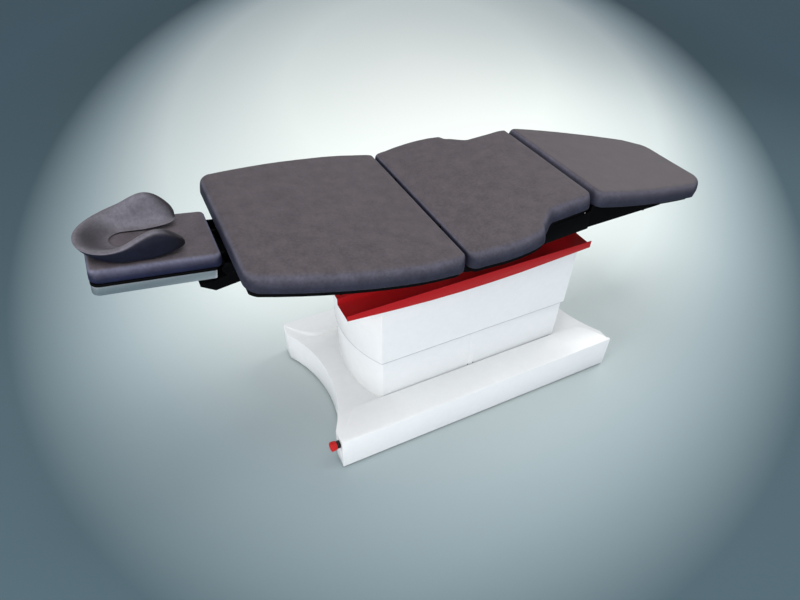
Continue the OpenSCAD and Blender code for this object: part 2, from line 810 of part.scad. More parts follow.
function leg_half() = concat(
  arc(cushion_gap / 2 + 35, leg_joint_w - 37, 35, 180, 92, 6),
  [for (i = [1:8]) let (t = i / 8)
    [80 + (leg_l - 190) * t, leg_joint_w - 2 - (leg_joint_w - 2 - leg_foot_w) * pow(t, 1.7)]],
  arc(leg_l - 92, leg_foot_w - 112, 90, 50, 0, 8));
function pad_half() = concat(
  arc(22, pad_half_w - 22, 22, 180, 90, 5),
  [for (i = [1:5]) [22 + (pad_l - 52) * i / 6, pad_half_w]],
  arc(pad_l - 30, pad_half_w - 30, 30, 90, 0, 6));

// A ring drawn in from an outline by separate amounts at its ends and its sides, then scaled about a centre
function unit(v) = v / max(eps, norm(v));
function inset_ring(o, end_in, side_in, k, c) = [for (i = [0:len(o) - 1])
  let (a = o[(i + len(o) - 1) % len(o)], b = o[(i + 1) % len(o)], t = unit(b - a),
       p = [o[i].x + end_in * t.y, o[i].y - side_in * t.x])
  [c.x + (p.x - c.x) * k, c.y + (p.y - c.y) * k]];

// Edge of a cushion from the bottom up: share of its thickness, inset at the ends, inset at the sides
cushion_edge = [
  [0, 4, 6], [0.07, 0, 0], [0.2, 0, 0], [0.42, 0, 3],
  [0.66, 0.5, 8], [0.84, 4, 15], [0.95, 12, 23], [1, 24, 33]];

// A cushion as stacked rings: tucked in at the bottom, sides leaning in, rounded above and crowned
module cushion(half, t, rise, c, soft = 1) {
  o = mirrored(half);
  n = len(o);
  levels = concat([for (e = cushion_edge) [e[0] * t, soft * e[1], soft * e[2], 1]],
                  [for (k = [0.84, 0.62, 0.36]) [t + rise * (1 - k * k), soft * 24, soft * 33, k]]);
  rings = [for (l = levels) [for (p = inset_ring(o, l[1], l[2], l[3], c)) [p.x, p.y, l[0]]]];
  m = len(rings);
  points = concat([for (r = rings) each r], [[c.x, c.y, 0], [c.x, c.y, t + rise]]);
  walls = [for (j = [0:m - 2]) for (i = [0:n - 1]) let (i2 = (i + 1) % n)
    each [[j * n + i, j * n + i2, (j + 1) * n + i2], [j * n + i, (j + 1) * n + i2, (j + 1) * n + i]]];
  bottom = [for (i = [0:n - 1]) [m * n, (i + 1) % n, i]];
  top = [for (i = [0:n - 1]) [m * n + 1, (m - 1) * n + i, (m - 1) * n + (i + 1) % n]];
  polyhedron(points = points, faces = concat(walls, bottom, top), convexity = 4);
}

// Seat cushion with pockets for the hinge ears
module seat_cushion() {
  color(upholstery) in_top() translate([seat_x, 0, seat_n]) difference() {
    cushion(seat_half(), cushion_t, crown, [seat_l * 0.45, 0]);
    sides() block(-1, 30, ear_y - ear_t - pocket_side, ear_y + ear_t + pocket_side,
                  -1, back_hinge_n + ear_r + pocket_gap);
  }
}

// Ears that carry the back section, standing into the gap between the cushions
module back_hinge_ears() {
  under = board_n - 22;
  color(black) in_top() sides() difference() {
    union() {
      plate_xz([[seat_x - ear_r, back_axis_n], [seat_x - ear_r + 4, seat_n + 8], [seat_x + 14, under],
                [back_beam_x, under], [back_beam_x, board_n], [seat_x + 26, board_n],
                [seat_x + 26, seat_n], [seat_x + ear_r, back_axis_n]], ear_y, ear_y + ear_t);
      translate([seat_x, 0, back_axis_n]) across(2 * ear_r, ear_y, ear_y + ear_t);
    }
    translate([seat_x, 0, back_axis_n]) across(hinge_pin_d + 2 * bore_play, ear_y - 1, ear_y + ear_t + 1);
  }
}

// Pins of the back hinge
module back_hinge_pins() {
  color(steel) in_top() translate([seat_x, 0, back_axis_n]) sides()
    across(hinge_pin_d, ear_y - ear_t - 1, ear_y + ear_t + 1);
}

// Ears that carry the leg section
module leg_hinge_ears() {
  h = board_t / 2;
  x0 = leg_beam_x + leg_beam_w - leg_x;
  color(black) in_top() translate([leg_x, 0, leg_axis_n]) sides() difference() {
    union() {
      plate_xz([[x0, -h], [x0, -h - beam_h], [-16, -28], [6, -7], [0, leg_ear_r], [-12, leg_ear_r],
                [-12, -h]],
               leg_ear_y, leg_ear_y + ear_t);
      across(2 * leg_ear_r, leg_ear_y, leg_ear_y + ear_t);
    }
    across(hinge_pin_d + 2 * bore_play, leg_ear_y - 1, leg_ear_y + ear_t + 1);
  }
}

// Pins of the leg hinge
module leg_hinge_pins() {
  color(steel) in_top() translate([leg_x, 0, leg_axis_n]) sides()
    across(hinge_pin_d, leg_ear_y - ear_t - 1, leg_ear_y + ear_t + 1);
}

// Body of a drive hung under the seat board, its rod leaving towards -X
module drive_body() {
  difference() {
    union() {
      along(drive_body_d, 0, drive_l);
      translate([drive_l - 30, 0, 0]) across(44, -drive_body_d / 2, drive_body_d / 2);
      for (x = hanger_at)
        block(x - hanger_w / 2, x + hanger_w / 2, -drive_body_d / 3, drive_body_d / 3, 0, board_n - drive_n);
    }
    along(drive_rod_d + 2 * run, -1, drive_l - 14);
  }
}
module back_actuator_body() {
  color(plastic) in_top() translate([back_drive_x, drive_y, drive_n]) drive_body();
}
module leg_actuator_body() {
  color(plastic) in_top() translate([leg_drive_x, -drive_y, drive_n]) mirror([1, 0, 0]) drive_body();
}

// Rod of a drive with its cross pin at the origin, reaching into the body along +X
module drive_rod(length) {
  along(drive_rod_d, 0, length);
  across(cross_pin_d, -drive_pin_l / 2, drive_pin_l / 2);
}
module back_actuator_rod() {
  color(steel) in_top() translate([back_pin_x, drive_y, drive_n]) drive_rod(back_drive_x + 150 - back_pin_x);
}
module leg_actuator_rod() {
  color(steel) in_top() translate([leg_pin_x, -drive_y, drive_n]) mirror([1, 0, 0])
    drive_rod(leg_pin_x - leg_drive_x + 120);
}

// Two crank plates below a hinge, leaning by an angle, slotted for the drive's cross pin
module crank(h, lean, y, root) {
  d = [sin(lean), -cos(lean)];
  e = [cos(lean), sin(lean)];
  near = h - cross_pin_d / 2 - 2;
  far = h / cos(lean) + cross_pin_d / 2 + 2;
  for (s = [-1, 1]) translate([0, y + s * crank_y, 0]) difference() {
    plate_xz(concat(root, [d * (near - 10) + e * crank_w, d * (far + 10) + e * crank_w,
                           d * (far + 10) - e * crank_w, d * (near - 10) - e * crank_w]),
             -crank_t / 2, crank_t / 2);
    rotate([0, -lean, 0])
      block(-cross_pin_d / 2 - slot_play, cross_pin_d / 2 + slot_play, -crank_t, crank_t, -far, -near);
  }
}

// Steel frame of the back section with its slotted crank and hinge knuckles
module back_frame() {
  z0 = back_rail_n;
  z1 = back_board_n;
  y1 = ear_y - hinge_gap;
  y0 = y1 - ear_t;
  head = -back_l + 60;
  color(black) in_back() difference() {
    union() {
      sides() {
        box_tube(head, -34, y0 - back_rail_w, y0, z0, z1, rail_wall);
        plate_xz([[ear_r, 0], [-ear_r - 4, 0], [-60, z1], [-60, z0], [-20, z0], [-18, z1 - 6],
                  [ear_r - 6, z1 + 24]], y0, y1);
        across(2 * ear_r, y0, y1);
      }
      for (x = [-90, head])
        block(x, x + 30, -y0 + back_rail_w, y0 - back_rail_w, z0, z1);
      crank(back_crank, back_mid, drive_y, [[-75, z0], [-75, z1], [0, z1 - 3]]);
    }
    sides() across(hinge_pin_d + 2 * bore_play, y0 - 1, y1 + 1);
  }
}

// Plywood board under the back, notched for the hinge knuckles
module back_board() {
  color(black) in_back() translate([0, 0, back_board_n]) difference() {
    mirror([1, 0, 0]) linear_extrude(board_t)
      polygon(mirrored(board_half(back_half(), board_gap, back_l - board_inset)));
    sides() block(-knuckle_l, 20, ear_y - ear_t - pocket_side, ear_y + ear_t + pocket_side, -1, board_t + 1);
  }
}

// Back cushion with pockets for the hinge knuckles
module back_cushion() {
  color(upholstery) in_back() translate([0, 0, -back_hinge_n]) difference() {
    mirror([1, 0, 0]) cushion(back_half(), cushion_t, crown, [back_l / 2, 0]);
    sides() block(-knuckle_l, 1, ear_y - ear_t - pocket_side, ear_y + ear_t + pocket_side,
                  -1, back_hinge_n + ear_r + pocket_gap);
  }
}

// Sheet box under the head end that carries the headrest's lugs
module head_bracket() {
  z0 = back_rail_n;
  x0 = -back_l + 88;
  x1 = -head_axis_x;
  w = bracket_half_w;
  color(black) in_back() difference() {
    plate_xz([[x0, z0], [x0 - 2, z0 - 31], [x1 - 32, z0 - 67], [x1 - 77, z0 - 45], [x1 - 77, z0 - 39],
              [x1 - 28, z0 - 30], [x1 - 10, z0 - 22], [x1 + 34, z0]], -w, w);
    plate_xz([[x0 + 1, z0 - 5], [x0 + 1, z0 - 26], [x1 - 31, z0 - 61], [x1 - 66, z0 - 45], [x1 - 26, z0 - 36],
              [x1 - 7, z0 - 26.5], [x1 + 36, z0 - 5]], -w + bracket_side_t, w - bracket_side_t);
  }
}

// Four lugs that stand on the bracket's front slope and bear the headrest's pin
module head_lugs() {
  z0 = back_rail_n;
  x1 = -head_axis_x;
  color(black) in_back() sides() for (y = [head_lug_y, bracket_half_w - 8]) difference() {
    union() {
      plate_xz([[x1 + 26, z0 - 4], [x1 + 26, back_board_n - 1], [x1, back_board_n - 1],
                [x1 - lug_r, -head_axis_n], [x1 + 2, z0 - 16]], y, y + 8);
      translate([x1, 0, -head_axis_n]) across(2 * lug_r, y, y + 8);
    }
    translate([x1, 0, -head_axis_n]) across(head_pin_d + 2 * bore_play, y - 1, y + 9);
  }
}

// Hinge block of the headrest with the cross bar that holds its guide rods
module headrest_knuckle() {
  w = head_lug_y - hinge_gap;
  color(black) in_head() difference() {
    union() {
      across(2 * head_bush_r, -w, w);
      block(-band_x + 13, 0, -w, w, -8, 8);
      block(-band_x + 2, -band_x + 13, -rod_y - 14, rod_y + 14, -11, 8);
    }
    across(head_pin_d + 2 * bore_play, -w - 1, w + 1);
    sides() translate([0, rod_y, rod_n]) along(rod_d, -band_x + 1, 0);
  }
}

// Pin of the headrest hinge
module headrest_pin() { color(steel) in_head() across(head_pin_d, -bracket_half_w - 2, bracket_half_w + 2); }

// Guide rods on which the headrest pulls out
module headrest_rods() {
  color(bright) in_head() sides() translate([0, rod_y, rod_n]) along(rod_d, -head_l + 80, -band_x + 13);
}

// Outline of the headrest's band, drawn in by an inset
function band_outline(inset) = mirrored(concat(
  arc(-band_x - head_l + 24, head_half_w - 24, 24 - inset, 180, 90, 6),
  arc(-band_x - 8, head_half_w - 8, 8 - inset, 90, 0, 3)));

// Bright band and pan that frame the headrest
module headrest_frame() {
  h = band_h / 2;
  color(bright) in_head() difference() {
    translate([0, 0, -h]) linear_extrude(band_h) polygon(band_outline(0));
    translate([0, 0, -h + 2]) linear_extrude(band_h) polygon(band_outline(band_t));
    sides() translate([0, rod_y, rod_n]) along(rod_d + 3, -band_x - 20, 0);
  }
}

// Sliding bushes in the headrest's frame
module headrest_slides() {
  x1 = -band_x - band_t;
  color(plastic) in_head() sides() difference() {
    block(x1 - 40, x1, rod_y - 15, rod_y + 15, -band_h / 2 + 2, band_h / 2 - head_board_t);
    translate([0, rod_y, rod_n]) along(rod_d + 2 * bore_play, x1 - 50, 0);
  }
}

// Board under the headrest's pad
module headrest_board() {
  color(black) in_head() translate([0, 0, band_h / 2 - head_board_t]) linear_extrude(head_board_t)
    polygon(band_outline(band_t + run));
}

// Pad of the headrest
module headrest_pad() {
  color(upholstery) in_head() translate([-pad_x, 0, band_h / 2]) mirror([1, 0, 0])
    cushion(pad_half(), pad_t, pad_rise, [pad_l / 2, 0], 0.6);
}

// Hook-and-loop strips between the pad and the face cradle
module cradle_pads() {
  top = band_h / 2 + pad_t + pad_rise;
  y0 = cradle_half_w - cradle_tube - patch_w / 2;
  color(black) in_head() sides() block(-patch_x - patch_l, -patch_x, y0, y0 + patch_w, top, top + patch_t);
}

// Section of the face cushion from its inner edge up to the thin rim, down the leaning outer face and along
// the flat bottom, as shares of its half width and height
cradle_section = [
  [1, 0.1], [0.78, 0.17], [0.45, 0.33], [0.12, 0.53], [-0.2, 0.74], [-0.5, 0.92], [-0.76, 1], [-0.95, 0.98],
  [-1.04, 0.9], [-1, 0.74], [-0.88, 0.45], [-0.72, 0.17], [-0.56, 0], [0, 0], [0.76, 0]];

// Middle line of the face cushion from its closed end to one tip, and the direction towards its opening
function cradle_at(s) =
  let (r = cradle_half_w - cradle_tube, arm = cradle_l - cradle_half_w - cradle_tube / 2, turn = PI * r / 2,
       u = abs(s) * (arm + turn), a = 90 * u / turn, g = s < 0 ? -1 : 1)
  u < turn ? [-r * cos(a), g * r * sin(a), cos(a), -g * sin(a)]
           : [u - turn, g * (r - cradle_toe_in * pow((u - turn) / arm, 2)), 0, -g];
function cradle_height(s) =
  let (u = min(1, pow(abs(s), 2.3)), fall = u > 0.5 ? 0.55 * pow(2 * u - 1, 2) : 0)
  bow_h + (lobe_h - bow_h) * (pow(sin(180 * u), 1.2) + fall);
function cradle_lean(s) = cradle_bank * ease(min(1, abs(s) / 0.6));
function cradle_taper(s) = pow(max(0, 1 - pow(abs(s), 12)), 0.5);
function cradle_lift(s) = tip_lift * pow(max(0, (abs(s) - 0.66) / 0.34), 1.4);

// Horseshoe face cushion: a thin-rimmed bowl, low at the head end and high at its two lobes,
// its tips off the pad
module face_cradle() {
  n = len(cradle_section);
  steps = 36;
  last = steps * n;
  function ring(s) =
    let (p = cradle_at(s), h = cradle_height(s) * (0.3 + 0.7 * cradle_taper(s)),
         w = cradle_tube * (0.2 + 0.8 * cradle_taper(s)), z = cradle_lift(s))
    [for (q = cradle_section) let (in = w * (q.x + cradle_lean(s) * q.y))
      [p[0] + p[2] * in, p[1] + p[3] * in, z + max(6, h - z) * q.y]];
  rings = [for (j = [0:steps]) ring(-0.995 + 1.99 * j / steps)];
  faces = concat(
    [for (j = [0:steps - 1]) for (i = [0:n - 1]) let (i2 = (i + 1) % n)
      each [[j * n + i, j * n + i2, (j + 1) * n + i2], [j * n + i, (j + 1) * n + i2, (j + 1) * n + i]]],
    [for (i = [1:n - 2]) [0, i + 1, i]],
    [for (i = [1:n - 2]) [last, last + i, last + i + 1]]);
  color(upholstery) in_head()
    translate([-cradle_x - cradle_l + cradle_half_w, 0, band_h / 2 + pad_t + pad_rise + patch_t])
      polyhedron(points = [for (q = rings) each q], faces = faces, convexity = 6);
}

// Side plates, beams, hinge knuckles and slotted crank of the leg section
module leg_frame() {
  z1 = -board_t / 2;
  y1 = leg_side_y;
  y0 = y1 - plate_t;
  k1 = leg_ear_y - hinge_gap;
  k0 = k1 - ear_t;
  tip = (box_depth - board_t / 2) * [sin(leg_rest), -cos(leg_rest)];
  color(black) in_leg() difference() {
    union() {
      sides() {
        plate_xz([[4, board_t / 2], [2, z1], tip, [leg_wedge_l, board_t / 2]], y0, y1);
        plate_xz([[0, leg_ear_r], [12, leg_ear_r], [12, z1], [24, z1], [24, -30], [12, -30], [-7, -6]],
                 k0, k1);
        across(2 * leg_ear_r, k0, k1);
        box_tube(leg_rail_x, leg_rail_x + leg_rail_l, leg_rail_y, leg_rail_y + leg_rail_w,
                 leg_rail_n, z1, rail_wall);
      }
      block(leg_root_x, leg_rail_x, -y0, y0, leg_rail_n, z1);
      block(leg_cross_x, leg_cross_x + leg_rail_w, -y0, y0, z1 - leg_cross_h, z1);
      crank(leg_crank, leg_mid, -drive_y, [[leg_root_x, z1], [leg_rail_x, z1], [leg_rail_x, leg_rail_n]]);
    }
    sides() across(hinge_pin_d + 2 * bore_play, k0 - 1, k1 + 1);
  }
}

// Plywood board under the leg cushion, lying between the frame's side plates
module leg_board() {
  outline = mirrored(board_half(leg_half(), board_gap, leg_l - leg_board_inset, leg_board_inset));
  share = (leg_side_y - plate_t) / max([for (p = outline) p.y]);
  color(black) in_leg() translate([0, 0, -board_t / 2])
    linear_extrude(board_t) polygon([for (p = outline) [p.x, p.y * share]]);
}

// Leg cushion
module leg_cushion() {
  color(upholstery) in_leg() translate([0, 0, board_t / 2])
    cushion(leg_half(), cushion_t, crown, [leg_l * 0.45, 0]);
}

base_cover();
base_frame();
levelling_feet();
foot_studs();
lower_cover();
head_column_outer();
foot_column_outer();
column_glides();
lift_motors();
spindle_tubes();
control_box();
mains_inlet();
e_stop_collar();
e_stop_knob();
red_tray();
carriage_frame();
upper_cover();
head_column_inner();
foot_column_inner();
push_tubes();
tilt_brackets();
tilt_pins();
tilt_bushes();
tilt_actuator_body();
tilt_actuator_rod();
top_frame();
seat_box();
seat_board();
seat_cushion();
back_hinge_ears();
back_hinge_pins();
leg_hinge_ears();
leg_hinge_pins();
back_actuator_body();
leg_actuator_body();
back_actuator_rod();
leg_actuator_rod();
back_frame();
back_board();
back_cushion();
head_bracket();
head_lugs();
headrest_knuckle();
headrest_pin();
headrest_rods();
headrest_frame();
headrest_slides();
headrest_board();
headrest_pad();
face_cradle();
cradle_pads();
leg_frame();
leg_board();
leg_cushion();
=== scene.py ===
"""Patient couch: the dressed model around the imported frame."""
import json
import math

import bmesh
import bpy
from mathutils import Matrix, Vector, noise

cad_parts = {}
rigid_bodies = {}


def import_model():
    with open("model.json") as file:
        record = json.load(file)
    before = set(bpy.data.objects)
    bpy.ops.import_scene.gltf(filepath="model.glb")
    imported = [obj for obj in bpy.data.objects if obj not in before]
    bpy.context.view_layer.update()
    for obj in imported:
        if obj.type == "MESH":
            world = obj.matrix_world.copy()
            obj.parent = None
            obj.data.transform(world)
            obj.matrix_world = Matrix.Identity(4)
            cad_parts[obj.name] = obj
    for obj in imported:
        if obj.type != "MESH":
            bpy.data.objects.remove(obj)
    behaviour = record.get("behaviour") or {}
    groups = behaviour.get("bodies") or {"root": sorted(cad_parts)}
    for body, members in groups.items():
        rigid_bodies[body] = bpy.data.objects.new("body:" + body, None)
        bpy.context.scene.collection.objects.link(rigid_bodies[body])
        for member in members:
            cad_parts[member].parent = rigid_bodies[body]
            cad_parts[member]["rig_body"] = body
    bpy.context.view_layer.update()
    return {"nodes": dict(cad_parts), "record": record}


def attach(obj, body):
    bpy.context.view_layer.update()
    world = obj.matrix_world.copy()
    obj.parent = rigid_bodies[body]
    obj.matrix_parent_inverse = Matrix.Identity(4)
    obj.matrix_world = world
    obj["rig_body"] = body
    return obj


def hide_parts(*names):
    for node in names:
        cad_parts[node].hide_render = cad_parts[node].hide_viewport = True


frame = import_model()

MM = 0.001

# Sizes shared with the frame, in millimetres and degrees
BASE_X = 87
LIFT_Z = 370
PIVOT_Z = 339
TILT_X = 520
TILT_REST = 4
SEAT_X = 342
SEAT_N = 111
BACK_HINGE_N = 38
SEAT_L = 565
BOARD_T = 18
BACK_REST = 12.2
LEG_REST = 17.4
HEAD_REST = -0.3
HEAD_AXIS_N = 76
HEAD_AXIS_GAP = 9
BACK_L = 688
LEG_L = 734
CUSHION_T = 58
CROWN = 5
CUSHION_GAP = 9
SHOULDER_X = 328
SEAT_HIP_W = 396
SEAT_FOOT_W = 297
BACK_WIDE_W = 394
BACK_HEAD_W = 321
LEG_JOINT_W = 300
LEG_FOOT_W = 236
BAND_H = 34
BAND_X = 26
BAND_L = 336
BAND_HALF_W = 141
BAND_EDGE_H = 5.5
BAND_EDGE_PROUD = 0.6
PAD_X = 8
PAD_T = 42
PAD_HALF_W = 137
PAD_L = 356
CRADLE_X = 82
CRADLE_L = 304
CRADLE_HALF_W = 130
CRADLE_TUBE = 40
CRADLE_TOE_IN = 12
CRADLE_BANK = 0.35
CRADLE_REST = 61.5
TIP_LIFT = 20
LOBE_H = 89
BOW_H = 23


def carrier(parent, x, z, degrees):
    """The frame of a carrier that is turned about the Y axis within its parent's frame."""
    return parent @ Matrix.Translation((x * MM, 0, z * MM)) @ Matrix.Rotation(math.radians(degrees), 4, "Y")


IN_TOP = carrier(Matrix.Identity(4), BASE_X - TILT_X, LIFT_Z + PIVOT_Z, -TILT_REST)
IN_BACK = carrier(IN_TOP, SEAT_X, SEAT_N + BACK_HINGE_N, BACK_REST)
IN_LEG = carrier(IN_TOP, SEAT_X + SEAT_L, SEAT_N - BOARD_T / 2, LEG_REST)
IN_HEAD = carrier(IN_BACK, -(BACK_L + HEAD_AXIS_GAP), -HEAD_AXIS_N, HEAD_REST)


# ---------------------------------------------------------------- camera, light and floor
CAMERA_PLACE = (-1.0615, -1.5841, 2.0128)
CAMERA_RIGHT = (0.8959, -0.4436, 0.0231)
CAMERA_UP = (0.2779, 0.6003, 0.7500)
CAMERA_LENS = 26.6


def set_camera():
    """The photograph's own view; its place is given from the middle of the base."""
    data = bpy.data.cameras.new("photo_camera")
    data.sensor_width = 36
    data.lens = CAMERA_LENS
    data.clip_end = 50
    camera = bpy.data.objects.new("photo_camera", data)
    bpy.context.scene.collection.objects.link(camera)
    right, up = Vector(CAMERA_RIGHT), Vector(CAMERA_UP)
    turn = Matrix((right, up, right.cross(up))).transposed().to_4x4()
    x, y, z = CAMERA_PLACE
    camera.matrix_world = Matrix.Translation((x + BASE_X * MM, y, z)) @ turn
    bpy.context.scene.camera = camera


def area_light(name, place, target, size, power, tint):
    data = bpy.data.lights.new(name, "AREA")
    data.shape = "RECTANGLE"
    data.size, data.size_y = size
    data.energy = power
    data.color = tint
    light = bpy.data.objects.new(name, data)
    light.location = place
    light.rotation_euler = (Vector(target) - Vector(place)).to_track_quat("-Z", "Y").to_euler()
    bpy.context.scene.collection.objects.link(light)


# Each lamp: name, place, target, size, watts, tint
LAMPS = [
    ("overhead", (0.0, -0.1, 3.4), (0.0, 0.0, 0.6), (2.6, 2.2), 76, (1.0, 0.985, 0.965)),
    ("head_end", (-3.0, -1.5, 2.0), (-0.3, -0.1, 0.2), (1.6, 1.2), 52, (1.0, 0.995, 0.98)),
    ("near_side", (0.6, -3.4, 1.1), (0.1, 0.0, 0.4), (3.0, 1.4), 15, (0.86, 0.92, 1.0)),
    ("foot_end", (3.2, 0.9, 2.6), (0.3, 0.0, 0.7), (1.8, 1.6), 46, (1.0, 0.975, 0.94)),
]
ROOM_LIGHT = (0.84, 0.91, 1.0, 1)
ROOM_STRENGTH = 0.56
ROOM_IN_GLOSS = (0.90, 0.92, 0.93, 1)
FLOOR_HALF = 9
FLOOR_BOUNCE = (0.76, 0.79, 0.81, 1)

# The bright pool on the floor: an ellipse, and its shades from the middle (0) to the rim (1)
POOL_CENTRE = (1.75, 3.45, 0)
POOL_TURN = 61.5
POOL_REACH = (6.9, 3.7, 1)
POOL_SHADES = [(0.0, (0.98, 1.0, 0.94)), (0.32, (0.92, 0.96, 0.90)), (0.55, (0.66, 0.72, 0.70)),
               (0.66, (0.31, 0.38, 0.40)), (0.75, (0.07, 0.11, 0.13)), (1.0, (0.08, 0.13, 0.16))]


def background(nodes, shade, strength=1.0):
    node = nodes.new("ShaderNodeBackground")
    node.inputs["Color"].default_value = shade
    node.inputs["Strength"].default_value = strength
    return node.outputs[0]


def choose_shader(nodes, links, factor, first, second):
    node = nodes.new("ShaderNodeMixShader")
    for socket, value in zip(node.inputs, (factor, first, second)):
        links.new(value, socket)
    return node.outputs[0]


def set_studio():
    """The lamps, and a world that the camera sees as dark as the rim of the pool."""
    scene = bpy.context.scene
    scene.view_settings.view_transform = "Standard"
    world = bpy.data.worlds.new("studio")
    scene.world = world
    world.use_nodes = True
    nodes, links = world.node_tree.nodes, world.node_tree.links
    nodes.clear()
    out = nodes.new("ShaderNodeOutputWorld")
    light = background(nodes, ROOM_LIGHT, ROOM_STRENGTH)
    in_gloss = background(nodes, ROOM_IN_GLOSS)
    far = background(nodes, POOL_SHADES[-1][1] + (1,))
    path = nodes.new("ShaderNodeLightPath")
    unseen = choose_shader(nodes, links, path.outputs["Is Glossy Ray"], light, in_gloss)
    links.new(choose_shader(nodes, links, path.outputs["Is Camera Ray"], unseen, far), out.inputs["Surface"])
    for lamp in LAMPS:
        area_light(*lamp)


def set_floor():
    """The floor: camera and glossy rays see the pool, other light bounces off a plain pale colour."""
    mesh = bpy.data.meshes.new("studio_floor")
    floor = bpy.data.objects.new("studio_floor", mesh)
    bpy.context.scene.collection.objects.link(floor)
    corners = [(-FLOOR_HALF, -FLOOR_HALF, 0), (FLOOR_HALF, -FLOOR_HALF, 0),
               (FLOOR_HALF, FLOOR_HALF, 0), (-FLOOR_HALF, FLOOR_HALF, 0)]
    mesh.from_pydata(corners, [], [(0, 1, 2, 3)])
    paint = bpy.data.materials.new("floor_paint")
    paint.use_nodes = True
    nodes, links = paint.node_tree.nodes, paint.node_tree.links
    shader = nodes["Principled BSDF"]
    shader.inputs["Roughness"].default_value = 0.85
    shader.inputs["Specular IOR Level"].default_value = 0.1
    pool = nodes.new("ShaderNodeMapping")
    pool.vector_type = "TEXTURE"
    pool.inputs["Location"].default_value = POOL_CENTRE
    pool.inputs["Rotation"].default_value = (0, 0, math.radians(POOL_TURN))
    pool.inputs["Scale"].default_value = POOL_REACH
    links.new(nodes.new("ShaderNodeTexCoord").outputs["Object"], pool.inputs["Vector"])
    away = nodes.new("ShaderNodeVectorMath")
    away.operation = "LENGTH"
    links.new(pool.outputs[0], away.inputs[0])
    fade = nodes.new("ShaderNodeValToRGB")
    ramp = fade.color_ramp
    while len(ramp.elements) < len(POOL_SHADES):
        ramp.elements.new(0.5)
    for element, (reach, tone) in zip(ramp.elements, POOL_SHADES):
        element.position = reach
        element.color = tone + (1,)
    links.new(away.outputs["Value"], fade.inputs[0])
    path = nodes.new("ShaderNodeLightPath")
    seen = nodes.new("ShaderNodeMath")
    seen.operation = "MAXIMUM"
    links.new(path.outputs["Is Camera Ray"], seen.inputs[0])
    links.new(path.outputs["Is Glossy Ray"], seen.inputs[1])
    either = nodes.new("ShaderNodeMix")
    either.data_type = "RGBA"
    links.new(seen.outputs[0], either.inputs["Factor"])
    colors = [socket for socket in either.inputs if socket.type == "RGBA"]
    colors[0].default_value = FLOOR_BOUNCE
    links.new(fade.outputs["Color"], colors[1])
    shade = [socket for socket in either.outputs if socket.type == "RGBA"][0]
    links.new(shade, shader.inputs["Base Color"])
    mesh.materials.append(paint)


set_camera()
set_studio()
set_floor()


# ---------------------------------------------------------------- shared node groups
def new_group(name, inputs, outputs):
    """An empty shader group with its two end nodes; inputs are (name, type, value)."""
    tree = bpy.data.node_groups.new(name, "ShaderNodeTree")
    for label, kind, value in inputs:
        socket = tree.interface.new_socket(name=label, in_out="INPUT", socket_type=kind)
        if value is not None:
            socket.default_value = value
    for label, kind in outputs:
        tree.interface.new_socket(name=label, in_out="OUTPUT", socket_type=kind)
    return tree, tree.nodes.new("NodeGroupInput"), tree.nodes.new("NodeGroupOutput")


def object_place(tree):
    return tree.nodes.new("ShaderNodeTexCoord").outputs["Object"]


def split_normal(tree):
    split = tree.nodes.new("ShaderNodeSeparateXYZ")
    tree.links.new(tree.nodes.new("ShaderNodeNewGeometry").outputs["Normal"], split.inputs[0])
    return split.outputs


def math_node(tree, operation, a, b=None, clamp=False):
    node = tree.nodes.new("ShaderNodeMath")
    node.operation = operation
    node.use_clamp = clamp
    for socket, value in zip(node.inputs, (a, b)):
        if isinstance(value, (int, float)):
            socket.default_value = value
        elif value is not None:
            tree.links.new(value, socket)
    return node.outputs[0]


def texture_noise(tree, vector, scale, detail, roughness=0.5):
    node = tree.nodes.new("ShaderNodeTexNoise")
    for socket, value in (("Vector", vector), ("Scale", scale)):
        if isinstance(value, (int, float)):
            node.inputs[socket].default_value = value
        else:
            tree.links.new(value, node.inputs[socket])
    node.inputs["Detail"].default_value = detail
    node.inputs["Roughness"].default_value = roughness
    return node.outputs["Fac"]


def blend_colors(tree, factor, a, b):
    node = tree.nodes.new("ShaderNodeMix")
    node.data_type = "RGBA"
    for socket, value in ((node.inputs[0], factor), (node.inputs[6], a), (node.inputs[7], b)):
        if isinstance(value, (int, float, tuple)):
            socket.default_value = value
        else:
            tree.links.new(value, socket)
    return node.outputs[2]


def remap(tree, value, low, high, to_low, to_high):
    node = tree.nodes.new("ShaderNodeMapRange")
    labels = ("Value", "From Min", "From Max", "To Min", "To Max")
    for label, entry in zip(labels, (value, low, high, to_low, to_high)):
        if isinstance(entry, (int, float)):
            node.inputs[label].default_value = entry
        else:
            tree.links.new(entry, node.inputs[label])
    return node.outputs[0]


def mottle_group():
    """Slow and fine changes of shade over a surface."""
    tree, start, end = new_group("shade_mottle", [
        ("Color", "NodeSocketColor", None), ("Cloud Size", "NodeSocketFloat", 6.0),
        ("Speck Size", "NodeSocketFloat", 260.0), ("Amount", "NodeSocketFloat", 0.1)],
        [("Color", "NodeSocketColor"), ("Mask", "NodeSocketFloat")])
    place = object_place(tree)
    clouds = texture_noise(tree, place, start.outputs["Cloud Size"], 3)
    specks = texture_noise(tree, place, start.outputs["Speck Size"], 2)
    both = math_node(tree, "ADD", math_node(tree, "MULTIPLY", clouds, 0.55),
                     math_node(tree, "MULTIPLY", specks, 0.45))
    centred = math_node(tree, "SUBTRACT", both, 0.5)
    gain = math_node(tree, "ADD", math_node(tree, "MULTIPLY", math_node(
        tree, "MULTIPLY", centred, start.outputs["Amount"]), 4.0), 1.0)
    scale = tree.nodes.new("ShaderNodeVectorMath")
    scale.operation = "SCALE"
    tree.links.new(start.outputs["Color"], scale.inputs[0])
    tree.links.new(gain, scale.inputs["Scale"])
    tree.links.new(scale.outputs[0], end.inputs["Color"])
    tree.links.new(both, end.inputs["Mask"])
    return tree


